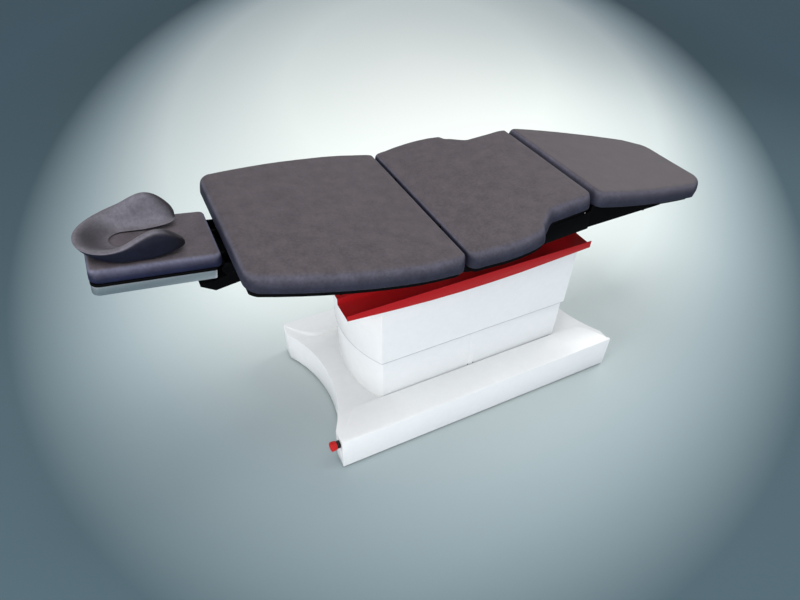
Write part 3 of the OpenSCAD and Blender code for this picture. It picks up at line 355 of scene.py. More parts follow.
def grain_group():
    """Pebbled grain of coated upholstery: rounded cells with fine pores."""
    tree, start, end = new_group("cover_grain", [
        ("Cell Scale", "NodeSocketFloat", 700.0), ("Depth", "NodeSocketFloat", 0.12)],
        [("Height", "NodeSocketFloat"), ("Creases", "NodeSocketFloat")])
    place = object_place(tree)
    bend = texture_noise(tree, place, 90.0, 2)
    shift = tree.nodes.new("ShaderNodeVectorMath")
    shift.operation = "MULTIPLY_ADD"
    shift.inputs[1].default_value = (1, 1, 1)
    tree.links.new(place, shift.inputs[0])
    push = math_node(tree, "MULTIPLY", bend, 0.0016)
    tree.links.new(push, shift.inputs[2])
    cells = tree.nodes.new("ShaderNodeTexVoronoi")
    cells.feature = "DISTANCE_TO_EDGE"
    tree.links.new(shift.outputs[0], cells.inputs["Vector"])
    tree.links.new(start.outputs["Cell Scale"], cells.inputs["Scale"])
    rounded = remap(tree, cells.outputs["Distance"], 0.0, 0.32, 0.0, 1.0)
    pores = texture_noise(tree, place, 1500.0, 2)
    height = math_node(tree, "ADD", rounded, math_node(tree, "MULTIPLY", pores, 0.35))
    tree.links.new(math_node(tree, "MULTIPLY", height, start.outputs["Depth"]), end.inputs["Height"])
    tree.links.new(math_node(tree, "SUBTRACT", 1.0, rounded, clamp=True), end.inputs["Creases"])
    return tree


def edge_group():
    """A mask that is white along outer edges, broken up by noise."""
    tree, start, end = new_group("edge_touch", [
        ("Radius", "NodeSocketFloat", 0.0015), ("Breakup", "NodeSocketFloat", 60.0),
        ("Amount", "NodeSocketFloat", 0.5)],
        [("Mask", "NodeSocketFloat")])
    bevel = tree.nodes.new("ShaderNodeBevel")
    bevel.samples = 4
    tree.links.new(start.outputs["Radius"], bevel.inputs["Radius"])
    geometry = tree.nodes.new("ShaderNodeNewGeometry")
    dot = tree.nodes.new("ShaderNodeVectorMath")
    dot.operation = "DOT_PRODUCT"
    tree.links.new(bevel.outputs[0], dot.inputs[0])
    tree.links.new(geometry.outputs["Normal"], dot.inputs[1])
    edge = remap(tree, dot.outputs["Value"], 0.99, 0.80, 0.0, 1.0)
    place = object_place(tree)
    patches = remap(tree, texture_noise(tree, place, start.outputs["Breakup"], 4, 0.6), 0.38, 0.62, 0.0, 1.0)
    broken = math_node(tree, "MULTIPLY", edge, patches)
    mask = math_node(tree, "MULTIPLY", broken, start.outputs["Amount"], clamp=True)
    tree.links.new(mask, end.inputs["Mask"])
    return tree


def flank_group():
    """Masks by the way a face looks: upright or overhanging, towards the foot end, and on the rim between;
    the upholstery paints shade and highlight with them.
    """
    tree, start, end = new_group("flank_mask", [
        ("Upright", "NodeSocketFloat", 0.3), ("Level", "NodeSocketFloat", 0.9)],
        [("Mask", "NodeSocketFloat"), ("Footward", "NodeSocketFloat"), ("Rim", "NodeSocketFloat")])
    normal = split_normal(tree)
    tree.links.new(remap(tree, normal["Z"], start.outputs["Upright"], start.outputs["Level"], 1.0, 0.0),
                   end.inputs["Mask"])
    tree.links.new(remap(tree, normal["X"], 0.05, 0.55, 0.0, 1.0), end.inputs["Footward"])
    lower = remap(tree, normal["Z"], 0.25, 0.60, 0.0, 1.0)
    upper = remap(tree, normal["Z"], 0.72, 0.97, 1.0, 0.0)
    tree.links.new(math_node(tree, "MULTIPLY", lower, upper), end.inputs["Rim"])
    return tree


def orange_peel_group():
    """The faint ripple of baked powder coat, with a little settled dust on faces that look up."""
    tree, start, end = new_group("powder_ripple", [
        ("Ripple Scale", "NodeSocketFloat", 420.0), ("Dust", "NodeSocketFloat", 0.1)],
        [("Height", "NodeSocketFloat"), ("Dust", "NodeSocketFloat")])
    place = object_place(tree)
    tree.links.new(texture_noise(tree, place, start.outputs["Ripple Scale"], 1), end.inputs["Height"])
    upward = math_node(tree, "MAXIMUM", split_normal(tree)["Z"], 0.0)
    patches = remap(tree, texture_noise(tree, place, 9.0, 4, 0.6), 0.35, 0.75, 0.0, 1.0)
    settled = math_node(tree, "MULTIPLY", upward, patches)
    tree.links.new(math_node(tree, "MULTIPLY", settled, start.outputs["Dust"]), end.inputs["Dust"])
    return tree


def brushed_group():
    """Fine lines left by brushing, running along one stretched direction."""
    tree, start, end = new_group("brush_lines", [
        ("Stretch", "NodeSocketVector", (20.0, 20.0, 900.0)), ("Spread", "NodeSocketFloat", 0.2)],
        [("Height", "NodeSocketFloat"), ("Roughness", "NodeSocketFloat")])
    place = object_place(tree)
    mapping = tree.nodes.new("ShaderNodeVectorMath")
    mapping.operation = "MULTIPLY"
    tree.links.new(place, mapping.inputs[0])
    tree.links.new(start.outputs["Stretch"], mapping.inputs[1])
    lines = texture_noise(tree, mapping.outputs[0], 1.0, 3, 0.65)
    tree.links.new(lines, end.inputs["Height"])
    rough = math_node(tree, "ADD", math_node(tree, "MULTIPLY", lines, start.outputs["Spread"]), 0.22)
    tree.links.new(rough, end.inputs["Roughness"])
    return tree


MOTTLE = mottle_group()
GRAIN = grain_group()
EDGE = edge_group()
RIPPLE = orange_peel_group()
BRUSHED = brushed_group()
FLANK = flank_group()


# ---------------------------------------------------------------- materials
CREASE_SHADE = (0.022, 0.020, 0.026, 1)
WORN_SHADE = (0.115, 0.105, 0.125, 1)
# Painted shadow for faces inside the face cradle's bowl that look to the foot end
PAINTED_BOWL_SHADOW = (0.008, 0.007, 0.008, 1)
DUST_SHADE = (0.42, 0.41, 0.39, 1)
# How much of the painted highlight the upholstery rims take
RIM_HIGHLIGHT_SHARE = 0.55
CREASE_SHARE = 0.25


def place_group(tree, group, **values):
    node = tree.nodes.new("ShaderNodeGroup")
    node.node_tree = group
    for label, value in values.items():
        socket = node.inputs[label.replace("_", " ")]
        if isinstance(value, (int, float, tuple)):
            socket.default_value = value
        else:
            tree.links.new(value, socket)
    return node


def start_material(name, **plain):
    material = bpy.data.materials.new(name)
    material.use_nodes = True
    tree = material.node_tree
    shader = tree.nodes["Principled BSDF"]
    for label, value in plain.items():
        shader.inputs[label.replace("_", " ")].default_value = value
    return material, tree, shader


def bump_from(tree, shader, height, strength, distance):
    bump = tree.nodes.new("ShaderNodeBump")
    bump.inputs["Strength"].default_value = strength
    bump.inputs["Distance"].default_value = distance
    tree.links.new(height, bump.inputs["Height"])
    tree.links.new(bump.outputs[0], shader.inputs["Normal"])


def upholstery_material(name, top, rim, side, upright, level, bowl_shadow_share):
    """Coated cover cloth with painted light: browner on top, a painted highlight that is paler round the rim,
    painted shade that is bluer down the sides, and a painted shadow that is darker inside a bowl.
    """
    material, tree, shader = start_material(name, Specular_IOR_Level=0.10)
    flank = place_group(tree, FLANK, Upright=upright, Level=level)
    # Painted shade on upright and overhanging faces, then a painted highlight on the rims
    painted_light_color = blend_colors(tree, flank.outputs["Mask"], top, side)
    painted_light_color = blend_colors(tree, math_node(tree, "MULTIPLY", flank.outputs["Rim"], RIM_HIGHLIGHT_SHARE), painted_light_color, rim)
    # Painted shadow on faces that look to the foot end, as inside the cradle's bowl
    bowl = math_node(tree, "MULTIPLY", flank.outputs["Footward"], bowl_shadow_share)
    painted_light_color = blend_colors(tree, bowl, painted_light_color, PAINTED_BOWL_SHADOW)
    mottle = place_group(tree, MOTTLE, Color=painted_light_color, Cloud_Size=22.0, Speck_Size=110.0, Amount=0.36)
    grain = place_group(tree, GRAIN, Cell_Scale=640.0, Depth=1.0)
    color = blend_colors(tree, math_node(tree, "MULTIPLY", grain.outputs["Creases"], CREASE_SHARE),
                         mottle.outputs["Color"], CREASE_SHADE)
    worn = place_group(tree, EDGE, Radius=0.006, Breakup=14.0, Amount=0.35)
    color = blend_colors(tree, worn.outputs["Mask"], color, WORN_SHADE)
    tree.links.new(color, shader.inputs["Base Color"])
    tree.links.new(remap(tree, mottle.outputs["Mask"], 0.3, 0.7, 0.50, 0.62), shader.inputs["Roughness"])
    bump_from(tree, shader, grain.outputs["Height"], 0.42, 0.0004)
    return material


def powder_material(name, color, roughness, ripple, dust, chip, gloss, peel=0.10):
    """Powder-coated sheet steel: ripple, a touch of dust and slightly rubbed edges."""
    material, tree, shader = start_material(name, Specular_IOR_Level=gloss)
    mottle = place_group(tree, MOTTLE, Color=color, Cloud_Size=3.0, Speck_Size=40.0, Amount=0.03)
    coat = place_group(tree, RIPPLE, Ripple_Scale=ripple, Dust=dust)
    rubbed = place_group(tree, EDGE, Radius=0.0012, Breakup=70.0, Amount=0.5)
    tinted = blend_colors(tree, coat.outputs["Dust"], mottle.outputs["Color"], DUST_SHADE)
    tinted = blend_colors(tree, rubbed.outputs["Mask"], tinted, chip)
    tree.links.new(tinted, shader.inputs["Base Color"])
    tree.links.new(remap(tree, coat.outputs["Dust"], 0.0, 0.4, roughness, roughness + 0.25),
                   shader.inputs["Roughness"])
    bump_from(tree, shader, coat.outputs["Height"], peel, 0.0004)
    return material


def metal_material(name, color, stretch, spread, marks=0.05):
    """Bare metal with fine lines and a few marks."""
    material, tree, shader = start_material(name, Metallic=1.0)
    mottle = place_group(tree, MOTTLE, Color=color, Cloud_Size=12.0, Speck_Size=200.0, Amount=marks)
    lines = place_group(tree, BRUSHED, Stretch=stretch, Spread=spread)
    tree.links.new(mottle.outputs["Color"], shader.inputs["Base Color"])
    tree.links.new(lines.outputs["Roughness"], shader.inputs["Roughness"])
    bump_from(tree, shader, lines.outputs["Height"], 0.25, 0.00015)
    return material


def moulded_material(name, color, roughness, texture_scale, depth, worn=0.4, gloss=0.2):
    """Moulded plastic or rubber with a spark-eroded texture and paler worn edges."""
    material, tree, shader = start_material(name, Specular_IOR_Level=gloss)
    mottle = place_group(tree, MOTTLE, Color=color, Cloud_Size=15.0, Speck_Size=500.0, Amount=0.08)
    edge = place_group(tree, EDGE, Radius=0.001, Breakup=90.0, Amount=worn)
    pale = tuple(min(1.0, c * 2.2) for c in color[:3]) + (1,)
    color = blend_colors(tree, edge.outputs["Mask"], mottle.outputs["Color"], pale)
    tree.links.new(color, shader.inputs["Base Color"])
    tree.links.new(remap(tree, mottle.outputs["Mask"], 0.3, 0.7, roughness - 0.05, roughness + 0.06),
                   shader.inputs["Roughness"])
    bump_from(tree, shader, texture_noise(tree, object_place(tree), texture_scale, 2), 0.3, depth)
    return material


MATERIALS = {
    # Upholstery: top colour, painted highlight on the rims, painted shade down the sides
    "upholstery": upholstery_material(
        "mauve_upholstery", (0.066, 0.056, 0.062, 1), (0.112, 0.109, 0.145, 1), (0.027, 0.029, 0.048, 1),
        0.25, 0.92, 0.0),
    "white_sheet": powder_material("white_powder_coat", (0.87, 0.878, 0.872, 1), 0.26, 420.0, 0.02,
                                   (0.80, 0.81, 0.81, 1), 0.5),
    "red_sheet": powder_material("red_powder_coat", (0.45, 0.010, 0.013, 1), 0.42, 500.0, 0.02,
                                 (0.54, 0.025, 0.027, 1), 0.1),
    "black_steel": powder_material("black_powder_coat", (0.0022, 0.0023, 0.0028, 1), 0.55, 700.0, 0.003,
                                   (0.007, 0.007, 0.008, 1), 0.025, 0.22),
    "bright_metal": metal_material("brushed_aluminium", (0.86, 0.84, 0.84, 1), (14.0, 14.0, 1400.0), 0.22),
    "bare_steel": metal_material("zinc_plated_steel", (0.44, 0.45, 0.46, 1), (160.0, 160.0, 160.0), 0.30,
                                 0.14),
    "bronze": metal_material("bearing_bronze", (0.45, 0.31, 0.12, 1), (300.0, 900.0, 300.0), 0.25, 0.1),
    "dark_plastic": moulded_material("dark_plastic", (0.012, 0.0125, 0.014, 1), 0.48, 900.0, 0.0003),
    "white_plastic": moulded_material("white_glide_plastic", (0.72, 0.72, 0.70, 1), 0.42, 500.0, 0.0002, 0.1),
    "rubber_foot": moulded_material("rubber_feet", (0.014, 0.014, 0.015, 1), 0.72, 300.0, 0.0005),
    "red_knob": moulded_material("red_knob_plastic", (0.52, 0.012, 0.012, 1), 0.26, 200.0, 0.00005, 0.15),
    "board": moulded_material("black_faced_board", (0.003, 0.003, 0.0035, 1), 0.62, 240.0, 0.0003, 0.1,
                              0.03),
    "hook_loop": moulded_material("hook_and_loop", (0.012, 0.012, 0.013, 1), 0.92, 2600.0, 0.0012),
}
# Head pad: top colour, painted highlight on the rims, painted shade down the sides
PAD_COVER = upholstery_material(
    "mauve_upholstery_pad", (0.070, 0.060, 0.067, 1), (0.165, 0.17, 0.25, 1), (0.010, 0.014, 0.042, 1),
    0.15, 0.85, 0.0)
# Grey seal colour, darker than the covers: a seal strip that is also a painted shadow line where the upper
# cover overlaps the lower
SEAL_AND_SHADOW_LINE = moulded_material("cover_seal_and_shadow_line", (0.52, 0.54, 0.56, 1), 0.7, 500.0, 0.0002, 0.1)
# Face cradle: top colour, painted rim highlight, near-black painted shade on the sides and a strong painted
# shadow in the bowl
CRADLE_COVER = upholstery_material(
    "mauve_upholstery_cradle", (0.108, 0.100, 0.116, 1), (0.165, 0.16, 0.195, 1), (0.006, 0.008, 0.020, 1),
    -0.05, 0.45, 0.92)


# ---------------------------------------------------------------- mesh helpers
def link_piece(name, mesh, slot_name, body, replaced=(), smooth_angle=32, finish=None):
    """Adds a piece to the scene in its slot's material, or in a finish of its own."""
    piece = bpy.data.objects.new(name, mesh)
    bpy.context.scene.collection.objects.link(piece)
    mesh.materials.clear()
    mesh.materials.append(finish or MATERIALS[slot_name])
    smooth_by_angle(mesh, smooth_angle)
    if replaced:
        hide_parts(*replaced)
    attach(piece, body)
    return piece


def smooth_by_angle(mesh, degrees):
    """Smooth faces, with sharp edges where neighbouring faces meet at more than the angle."""
    bm = bmesh.new()
    bm.from_mesh(mesh)
    limit = math.radians(degrees)
    for face in bm.faces:
        face.smooth = True
    for edge in bm.edges:
        edge.smooth = len(edge.link_faces) == 2 and edge.calc_face_angle(0.0) < limit
    bm.to_mesh(mesh)
    bm.free()


def face_outward(mesh):
    bm = bmesh.new()
    bm.from_mesh(mesh)
    bmesh.ops.recalc_face_normals(bm, faces=bm.faces)
    bm.to_mesh(mesh)
    bm.free()


def mesh_from(name, points, faces, place):
    mesh = bpy.data.meshes.new(name)
    mesh.from_pydata([tuple(place @ Vector(p)) for p in points], [], faces)
    mesh.update()
    return mesh


SHARP_ANGLE = 38


def rounded_copy(node, radius):
    """A copy of a CAD node with its sharp edges rounded; it stands for the node."""
    source = frame["nodes"][node]
    mesh = source.data.copy()
    bm = bmesh.new()
    bm.from_mesh(mesh)
    bmesh.ops.remove_doubles(bm, verts=bm.verts, dist=0.00002)
    bmesh.ops.dissolve_limit(bm, angle_limit=math.radians(1.0), verts=bm.verts, edges=bm.edges)
    limit = math.radians(SHARP_ANGLE)
    sharp = [e for e in bm.edges if len(e.link_faces) == 2 and e.calc_face_angle(0.0) > limit]
    bmesh.ops.bevel(bm, geom=sharp, offset=radius * MM, offset_type="OFFSET", segments=2, profile=0.5,
                    affect="EDGES", clamp_overlap=True)
    bm.to_mesh(mesh)
    bm.free()
    slot_name = [part["material_slot"] for part in frame["record"]["subparts"] if part["node"] == node][0]
    link_piece(node + "_shaped", mesh, slot_name, source["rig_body"], (node,))


# ---------------------------------------------------------------- cushions
def arc(cx, cy, r, a0, a1, n):
    """Points on an arc in millimetres, from one angle to the other in degrees."""
    return [(cx + r * math.cos(math.radians(a0 + (a1 - a0) * i / n)),
             cy + r * math.sin(math.radians(a0 + (a1 - a0) * i / n))) for i in range(n + 1)]


def ease(t):
    """A smooth step from 0 to 1."""
    return (1 - math.cos(math.pi * t)) / 2


# Half outlines in plan: x runs from the end at the hinge, on the seat from its hinge with the back
def seat_half():
    hip, waist = SEAT_HIP_W, SEAT_HIP_W - 45
    half = arc(CUSHION_GAP / 2 + 36, hip - 48, 36, 180, 100, 8)
    half += [(60 + (SHOULDER_X - 140) * i / 10, hip - 11 + 11 * math.sin(math.radians(150 * i / 10)))
             for i in range(11)]
    half += arc(SHOULDER_X - 62, hip - 52, 40, 72, 10, 8)
    half += [(SHOULDER_X - 22 + 84 * i / 11, waist - (waist - SEAT_FOOT_W) * ease(0.12 + 0.88 * i / 11))
             for i in range(1, 11)]
    half += [(SHOULDER_X + 66, SEAT_FOOT_W + 0.4), (SHOULDER_X + 90, SEAT_FOOT_W),
             (SHOULDER_X + 120, SEAT_FOOT_W), ((SHOULDER_X + SEAT_L) / 2 + 30, SEAT_FOOT_W - 1)]
    half += arc(SEAT_L - CUSHION_GAP / 2 - 35, SEAT_FOOT_W - 36, 35, 90, 0, 8)
    return half


def back_half():
    def edge(t):
        return (40 + (BACK_L - 130) * t, BACK_WIDE_W - 8 + 8 * math.sin(math.radians(90 * min(1, t * 4)))
                - (BACK_WIDE_W - BACK_HEAD_W - 14) * (max(0, t - 0.2) / 0.8) ** 1.9)
    return (arc(CUSHION_GAP / 2 + 36, BACK_WIDE_W - 44, 36, 180, 96, 8) + [edge(i / 18) for i in range(2, 19)]
            + arc(BACK_L - 68, BACK_HEAD_W - 58, 66, 60, 0, 12))


def leg_half():
    def edge(t):
        return 80 + (LEG_L - 190) * t, LEG_JOINT_W - 2 - (LEG_JOINT_W - 2 - LEG_FOOT_W) * t ** 1.7
    return (arc(CUSHION_GAP / 2 + 35, LEG_JOINT_W - 37, 35, 180, 92, 8) + [edge(i / 16) for i in range(1, 17)]
            + arc(LEG_L - 92, LEG_FOOT_W - 112, 90, 50, 0, 12))


def pad_half():
    return (arc(22, PAD_HALF_W - 22, 22, 180, 90, 7)
            + [(22 + (PAD_L - 52) * i / 10, PAD_HALF_W) for i in range(1, 10)]
            + arc(PAD_L - 30, PAD_HALF_W - 30, 30, 90, 0, 8))


# Rings of a cushion's side: height as a share of its thickness, inset at the ends, inset at the sides
EDGE_PROFILE = [(0.0, 5, 8), (0.03, 2, 3), (0.08, 0, 0.3), (0.14, 0, 0), (0.22, 0, 0.2), (0.34, 0, 1.6),
                (0.46, 0.1, 3.6), (0.58, 0.3, 5.9), (0.70, 1.1, 9), (0.79, 2.8, 12.4), (0.86, 5.4, 16),
                (0.92, 9.0, 20), (0.965, 14, 25), (0.99, 19.5, 30), (1.0, 26, 36)]
# Rings of its crown, as shares of the outline
CROWN_RINGS = (0.955, 0.9, 0.83, 0.75, 0.66, 0.56, 0.46, 0.36, 0.26, 0.16, 0.07)
JOINT_SOFT = 0.5
OUTLINE_STEP = 9
UNDERSIDE = 0.4


def resample(points, spacing):
    """Evenly spaced points round a closed outline."""
    closed = [Vector(p) for p in points]
    closed = [p for i, p in enumerate(closed) if (p - closed[i - 1]).length > 0.01]
    steps = [(closed[(i + 1) % len(closed)] - p).length for i, p in enumerate(closed)]
    total = sum(steps)
    count = int(total / spacing)
    out, i, walked = [], 0, 0.0
    for k in range(count):
        target = total * k / count
        while walked + steps[i] < target:
            walked += steps[i]
            i += 1
        out.append(closed[i].lerp(closed[(i + 1) % len(closed)], (target - walked) / steps[i]))
    return out


def cushion_points(half, thick, rise, centre, soft, flip, joints):
    """Rings of a padded block from its bottom edge over the rounded side to the middle of its crown."""
    outline = resample(half + [(x, -y) for x, y in reversed(half)], OUTLINE_STEP)
    n = len(outline)
    along = [(outline[(i + 1) % n] - outline[i - 1]).normalized() for i in range(n)]
    c = Vector(centre)
    rings = []

    def ring(height, end_in, side_in, k):
        row = []
        for p, t in zip(outline, along):
            end_soft = JOINT_SOFT if joints[p.x > c.x] else soft
            q = Vector((p.x + end_soft * end_in * t.y, p.y - soft * side_in * t.x))
            q = c + (q - c) * k
            row.append((-q.x if flip else q.x, q.y, height))
        rings.append(row)

    ring(UNDERSIDE, 30, 34, 0.94)
    for level, end_in, side_in in EDGE_PROFILE:
        ring(level * thick, end_in, side_in, 1)
    top_end, top_side = EDGE_PROFILE[-1][1:]
    for k in CROWN_RINGS:
        ring(thick + rise * (1 - k ** 2.4), top_end, top_side, k)
    return rings, n


def cushion_piece(name, half, thick, rise, centre, place, body, node, joints, soft=1.0, flip=False,
                  finish=None):
    """A cushion's cover; joints says which of its two ends meets a neighbour and stays squarer there."""
    rings, n = cushion_points(half, thick, rise, centre, soft, flip, joints)
    x = -centre[0] if flip else centre[0]
    points = [p for row in rings for p in row] + [(x, 0, UNDERSIDE), (x, 0, thick + rise)]
    low, high = len(points) - 2, len(points) - 1
    last = (len(rings) - 1) * n
    faces = []
    for j in range(len(rings) - 1):
        for i in range(n):
            faces.append((j * n + i, j * n + (i + 1) % n, (j + 1) * n + (i + 1) % n, (j + 1) * n + i))
    for i in range(n):
        faces.append((low, (i + 1) % n, i))
        faces.append((high, last + i, last + (i + 1) % n))
    if not flip:
        faces = [tuple(reversed(f)) for f in faces]
    points = [(x * MM, y * MM, z * MM) for x, y, z in points]
    mesh = mesh_from(name, points, faces, place)
    settle_cover(mesh, place, thick * MM)
    piece = link_piece(name, mesh, "upholstery", body, (node,), smooth_angle=70, finish=finish)


def settle_cover(mesh, place, thick):
    """Small hollows and swells of a stretched cover; the sides and bottom edge keep their line."""
    inverse = place.inverted()
    normals = [v.normal.copy() for v in mesh.vertices]
    for v, normal in zip(mesh.vertices, normals):
        p = inverse @ v.co
        upper = max(0.0, min(1.0, (p.z / thick - 0.35) / 0.5))
        swell = noise.noise(p * 9.0) * 0.6 + noise.noise(p * 27.0 + Vector((3, 7, 1))) * 0.35
        v.co -= normal * (0.0007 - 0.0009 * swell) * upper
    mesh.update()


cushion_piece("back_upholstery", back_half(), CUSHION_T, CROWN, (BACK_L / 2, 0),
              IN_BACK @ Matrix.Translation((0, 0, -BACK_HINGE_N * MM)), "back", "back_cushion",
              (True, False), flip=True)
cushion_piece("seat_upholstery", seat_half(), CUSHION_T, CROWN, (SEAT_L * 0.45, 0),
              IN_TOP @ Matrix.Translation((SEAT_X * MM, 0, SEAT_N * MM)), "top", "seat_cushion",
              (True, True))
cushion_piece("leg_upholstery", leg_half(), CUSHION_T, CROWN, (LEG_L * 0.45, 0),
              IN_LEG @ Matrix.Translation((0, 0, BOARD_T / 2 * MM)), "leg", "leg_cushion", (True, False))
cushion_piece("head_pad_upholstery", pad_half(), PAD_T, 1.5, (PAD_L / 2, 0),
              IN_HEAD @ Matrix.Translation((-PAD_X * MM, 0, BAND_H / 2 * MM)), "head_slide", "headrest_pad",
              (False, False), soft=0.62, flip=True, finish=PAD_COVER)


# ---------------------------------------------------------------- face cradle
# The section of the tube, from its inner lip over the top to the outside and back along the bottom
CRADLE_SECTION = [(1.22, 0.05), (0.88, 0.12), (0.48, 0.30), (0.12, 0.53), (-0.2, 0.74), (-0.5, 0.92),
                  (-0.76, 1), (-0.95, 0.98), (-1.04, 0.9), (-1, 0.74), (-0.88, 0.45), (-0.72, 0.17),
                  (-0.56, 0), (0, 0), (0.96, 0)]
CRADLE_STEPS = 120
CRADLE_END = 0.995


def cradle_place(s):
    """A point on the horseshoe's middle line and its inward direction; s runs from -1 to 1, tip to tip."""
    r = CRADLE_HALF_W - CRADLE_TUBE
    arm = CRADLE_L - CRADLE_HALF_W - CRADLE_TUBE / 2
    turn = math.pi * r / 2
    u = abs(s) * (arm + turn)
    side = math.copysign(1, s)
    if u < turn:
        a = u / r
        return -r * math.cos(a), side * r * math.sin(a), math.cos(a), -side * math.sin(a)
    return u - turn, side * (r - CRADLE_TOE_IN * ((u - turn) / arm) ** 2), 0, -side


def cradle_ring(s, section):
    """The section at s: high at the two lobes, low at the bow, tapered and lifted at the tips."""
    u = min(1, abs(s) ** 2.3)
    fall = 0.66 * (2 * u - 1) ** 2 if u > 0.5 else 0
    taper = math.sqrt(max(0, 1 - abs(s) ** 12))
    height = (BOW_H + (LOBE_H - BOW_H) * (math.sin(math.pi * u) ** 1.2 + fall)) * (0.3 + 0.7 * taper)
    width = CRADLE_TUBE * (0.2 + 0.8 * taper)
    low = TIP_LIFT * max(0, (abs(s) - 0.66) / 0.34) ** 1.4
    lean = CRADLE_BANK * ease(min(1, abs(s) / 0.6))
    x, y, in_x, in_y = cradle_place(s)
    ring = []
    for qx, qz in section:
        inward = width * (qx + lean * qz)
        ring.append((x + in_x * inward, y + in_y * inward, low + max(6, height - low) * max(0, qz)))
    return ring


def curve_through(points, steps):
    """A closed Catmull-Rom curve through the points."""
    out = []
    n = len(points)
    for i in range(n):
        around = [points[i - 1], points[i], points[(i + 1) % n], points[(i + 2) % n]]
        for j in range(steps):
            t = j / steps
            out.append(tuple(0.5 * (2 * b + (c - a) * t + (2 * a - 5 * b + 4 * c - d) * t * t
                                    + (3 * b - a - 3 * c + d) * t ** 3) for a, b, c, d in zip(*around)))
    return out


def cradle_piece():
    section = curve_through(CRADLE_SECTION, 4)
    steps = CRADLE_STEPS
    rings = [cradle_ring(-CRADLE_END + 2 * CRADLE_END * j / steps, section) for j in range(steps + 1)]
    n = len(section)
    points = [p for ring in rings for p in ring]
    points += [tuple(sum(p[k] for p in ring) / n for k in range(3)) for ring in (rings[0], rings[-1])]
    faces = [(j * n + i, (j + 1) * n + i, (j + 1) * n + (i + 1) % n, j * n + (i + 1) % n)
             for j in range(steps) for i in range(n)]
    faces += [(len(points) - 2, i, (i + 1) % n) for i in range(n)]
    faces += [(len(points) - 1, steps * n + (i + 1) % n, steps * n + i) for i in range(n)]
    points = [tuple(c * MM for c in p) for p in points]
    place = IN_HEAD @ Matrix.Translation(((CRADLE_HALF_W - CRADLE_X - CRADLE_L) * MM, 0, CRADLE_REST * MM))
    mesh = mesh_from("face_cradle_cover", points, faces, place)
    face_outward(mesh)
    piece = link_piece("face_cradle_cover", mesh, "upholstery", "head_slide", ("face_cradle",),
                       smooth_angle=80, finish=CRADLE_COVER)


cradle_piece()


# ---------------------------------------------------------------- rigid pieces with rounded edges
# Each CAD node and the radius of its edges in millimetres
ROUNDED = {
    "base_cover": 2.2, "lower_cover": 1.0, "upper_cover": 1.0, "red_tray": 0.9, "headrest_frame": 0.7,
    "seat_box": 1.2, "leg_frame": 0.8, "head_bracket": 1.4, "head_lugs": 0.8, "tilt_pins": 1.6,
    "e_stop_collar": 1.2, "tilt_brackets": 0.8, "mains_inlet": 0.6,
}
for node, radius in ROUNDED.items():
    rounded_copy(node, radius)


# ---------------------------------------------------------------- small fittings
STOP_X = -555
STOP_Y = -323
STOP_Z = 124
STOP_R = 19
STOP_SKIRT = 15
STOP_TOP = 40.9
FOOT_X = 520
FOOT_Y = 190
STUD_R = 5
NUT_LOW = 12
STUD_TOP = 22
THREAD_PITCH = 1.5
INLET_X = 562
INLET_Z = 95
INLET_FLOOR = 18
COVER_JOINT_X = 75
COVER_STRIP_HALF = 13
COVER_SIDE_Y = 222
COVER_FOOT_Z = 177
COVER_HALF_L = 424
COVER_BULGE = 68
UPPER_SIDE_Y = 230
UPPER_FOOT_Z = 370
SEAL_H = 2.5
COVER_TOP_Z = 424
BACK_RAIL_Y = 146.5
BACK_RAIL_N = 81
BACK_SCREWS_X = (150, 300, 450, 590)
LEG_RAIL_Y = 135
LEG_RAIL_N = 34
LEG_SCREWS_X = (110, 240, 400, 560)


def hexagon_radius(r, angle):
    """The radius of a hexagon of that corner radius, at an angle."""
    return r * math.cos(math.pi / 6) / math.cos((angle % (math.pi / 3)) - math.pi / 6)


def turned(rings, steps=24):
    """Points and faces of a piece about the Z axis; each ring is (radius, height, "round" or "hex")."""
    points, faces = [], []
    for r, z, shape in rings:
        for i in range(steps):
            a = 2 * math.pi * i / steps
            reach = hexagon_radius(r, a) if shape == "hex" else r
            points.append((reach * math.cos(a), reach * math.sin(a), z))
    for j in range(len(rings) - 1):
        for i in range(steps):
            k = (i + 1) % steps
            faces.append((j * steps + i, j * steps + k, (j + 1) * steps + k, (j + 1) * steps + i))
    faces.append(tuple(reversed(range(steps))))
    faces.append(tuple(range((len(rings) - 1) * steps, len(rings) * steps)))
    return points, faces


def bar(x0, x1, y0, y1, z0, z1, chamfer=0.0):
    """Points and faces of a bar with its four long X edges chamfered."""
    c = chamfer
    outline = [(y0 + c, z0), (y1 - c, z0), (y1, z0 + c), (y1, z1 - c),
               (y1 - c, z1), (y0 + c, z1), (y0, z1 - c), (y0, z0 + c)]
    points = [(x, y, z) for x in (x0, x1) for y, z in outline]
    faces = [(i, (i + 1) % 8, (i + 1) % 8 + 8, i + 8) for i in range(8)]
    return points, faces + [tuple(reversed(range(8))), tuple(range(8, 16))]


def clockwise(outline):
    area = sum(a.x * b.y - b.x * a.y for a, b in zip(outline, outline[1:] + outline[:1]))
    return outline if area < 0 else outline[::-1]


def band_outline():
    """The headrest's band in plan: tight corners at the couch's end, wide ones at the head."""
    half = (arc(BAND_X + 8, BAND_HALF_W - 8, 8, 180, 90, 4)
            + arc(BAND_X + BAND_L - 24, BAND_HALF_W - 24, 24, 90, 0, 8))
    return clockwise([Vector((-x, y)) for x, y in half + [(x, -y) for x, y in reversed(half)]])


def cover_outline(half_l, half_w, bulge):
    """The column cover in plan: straight sides and bowed ends."""
    r = (half_w ** 2 + bulge ** 2) / (2 * bulge)
    reach = math.degrees(math.asin(half_w / r))
    foot = arc(half_l + bulge - r, 0, r, -reach, reach, 16)
    head = arc(r - half_l - bulge, 0, r, 180 - reach, 180 + reach, 16)
    return clockwise([Vector((BASE_X + x, y)) for x, y in foot + head])


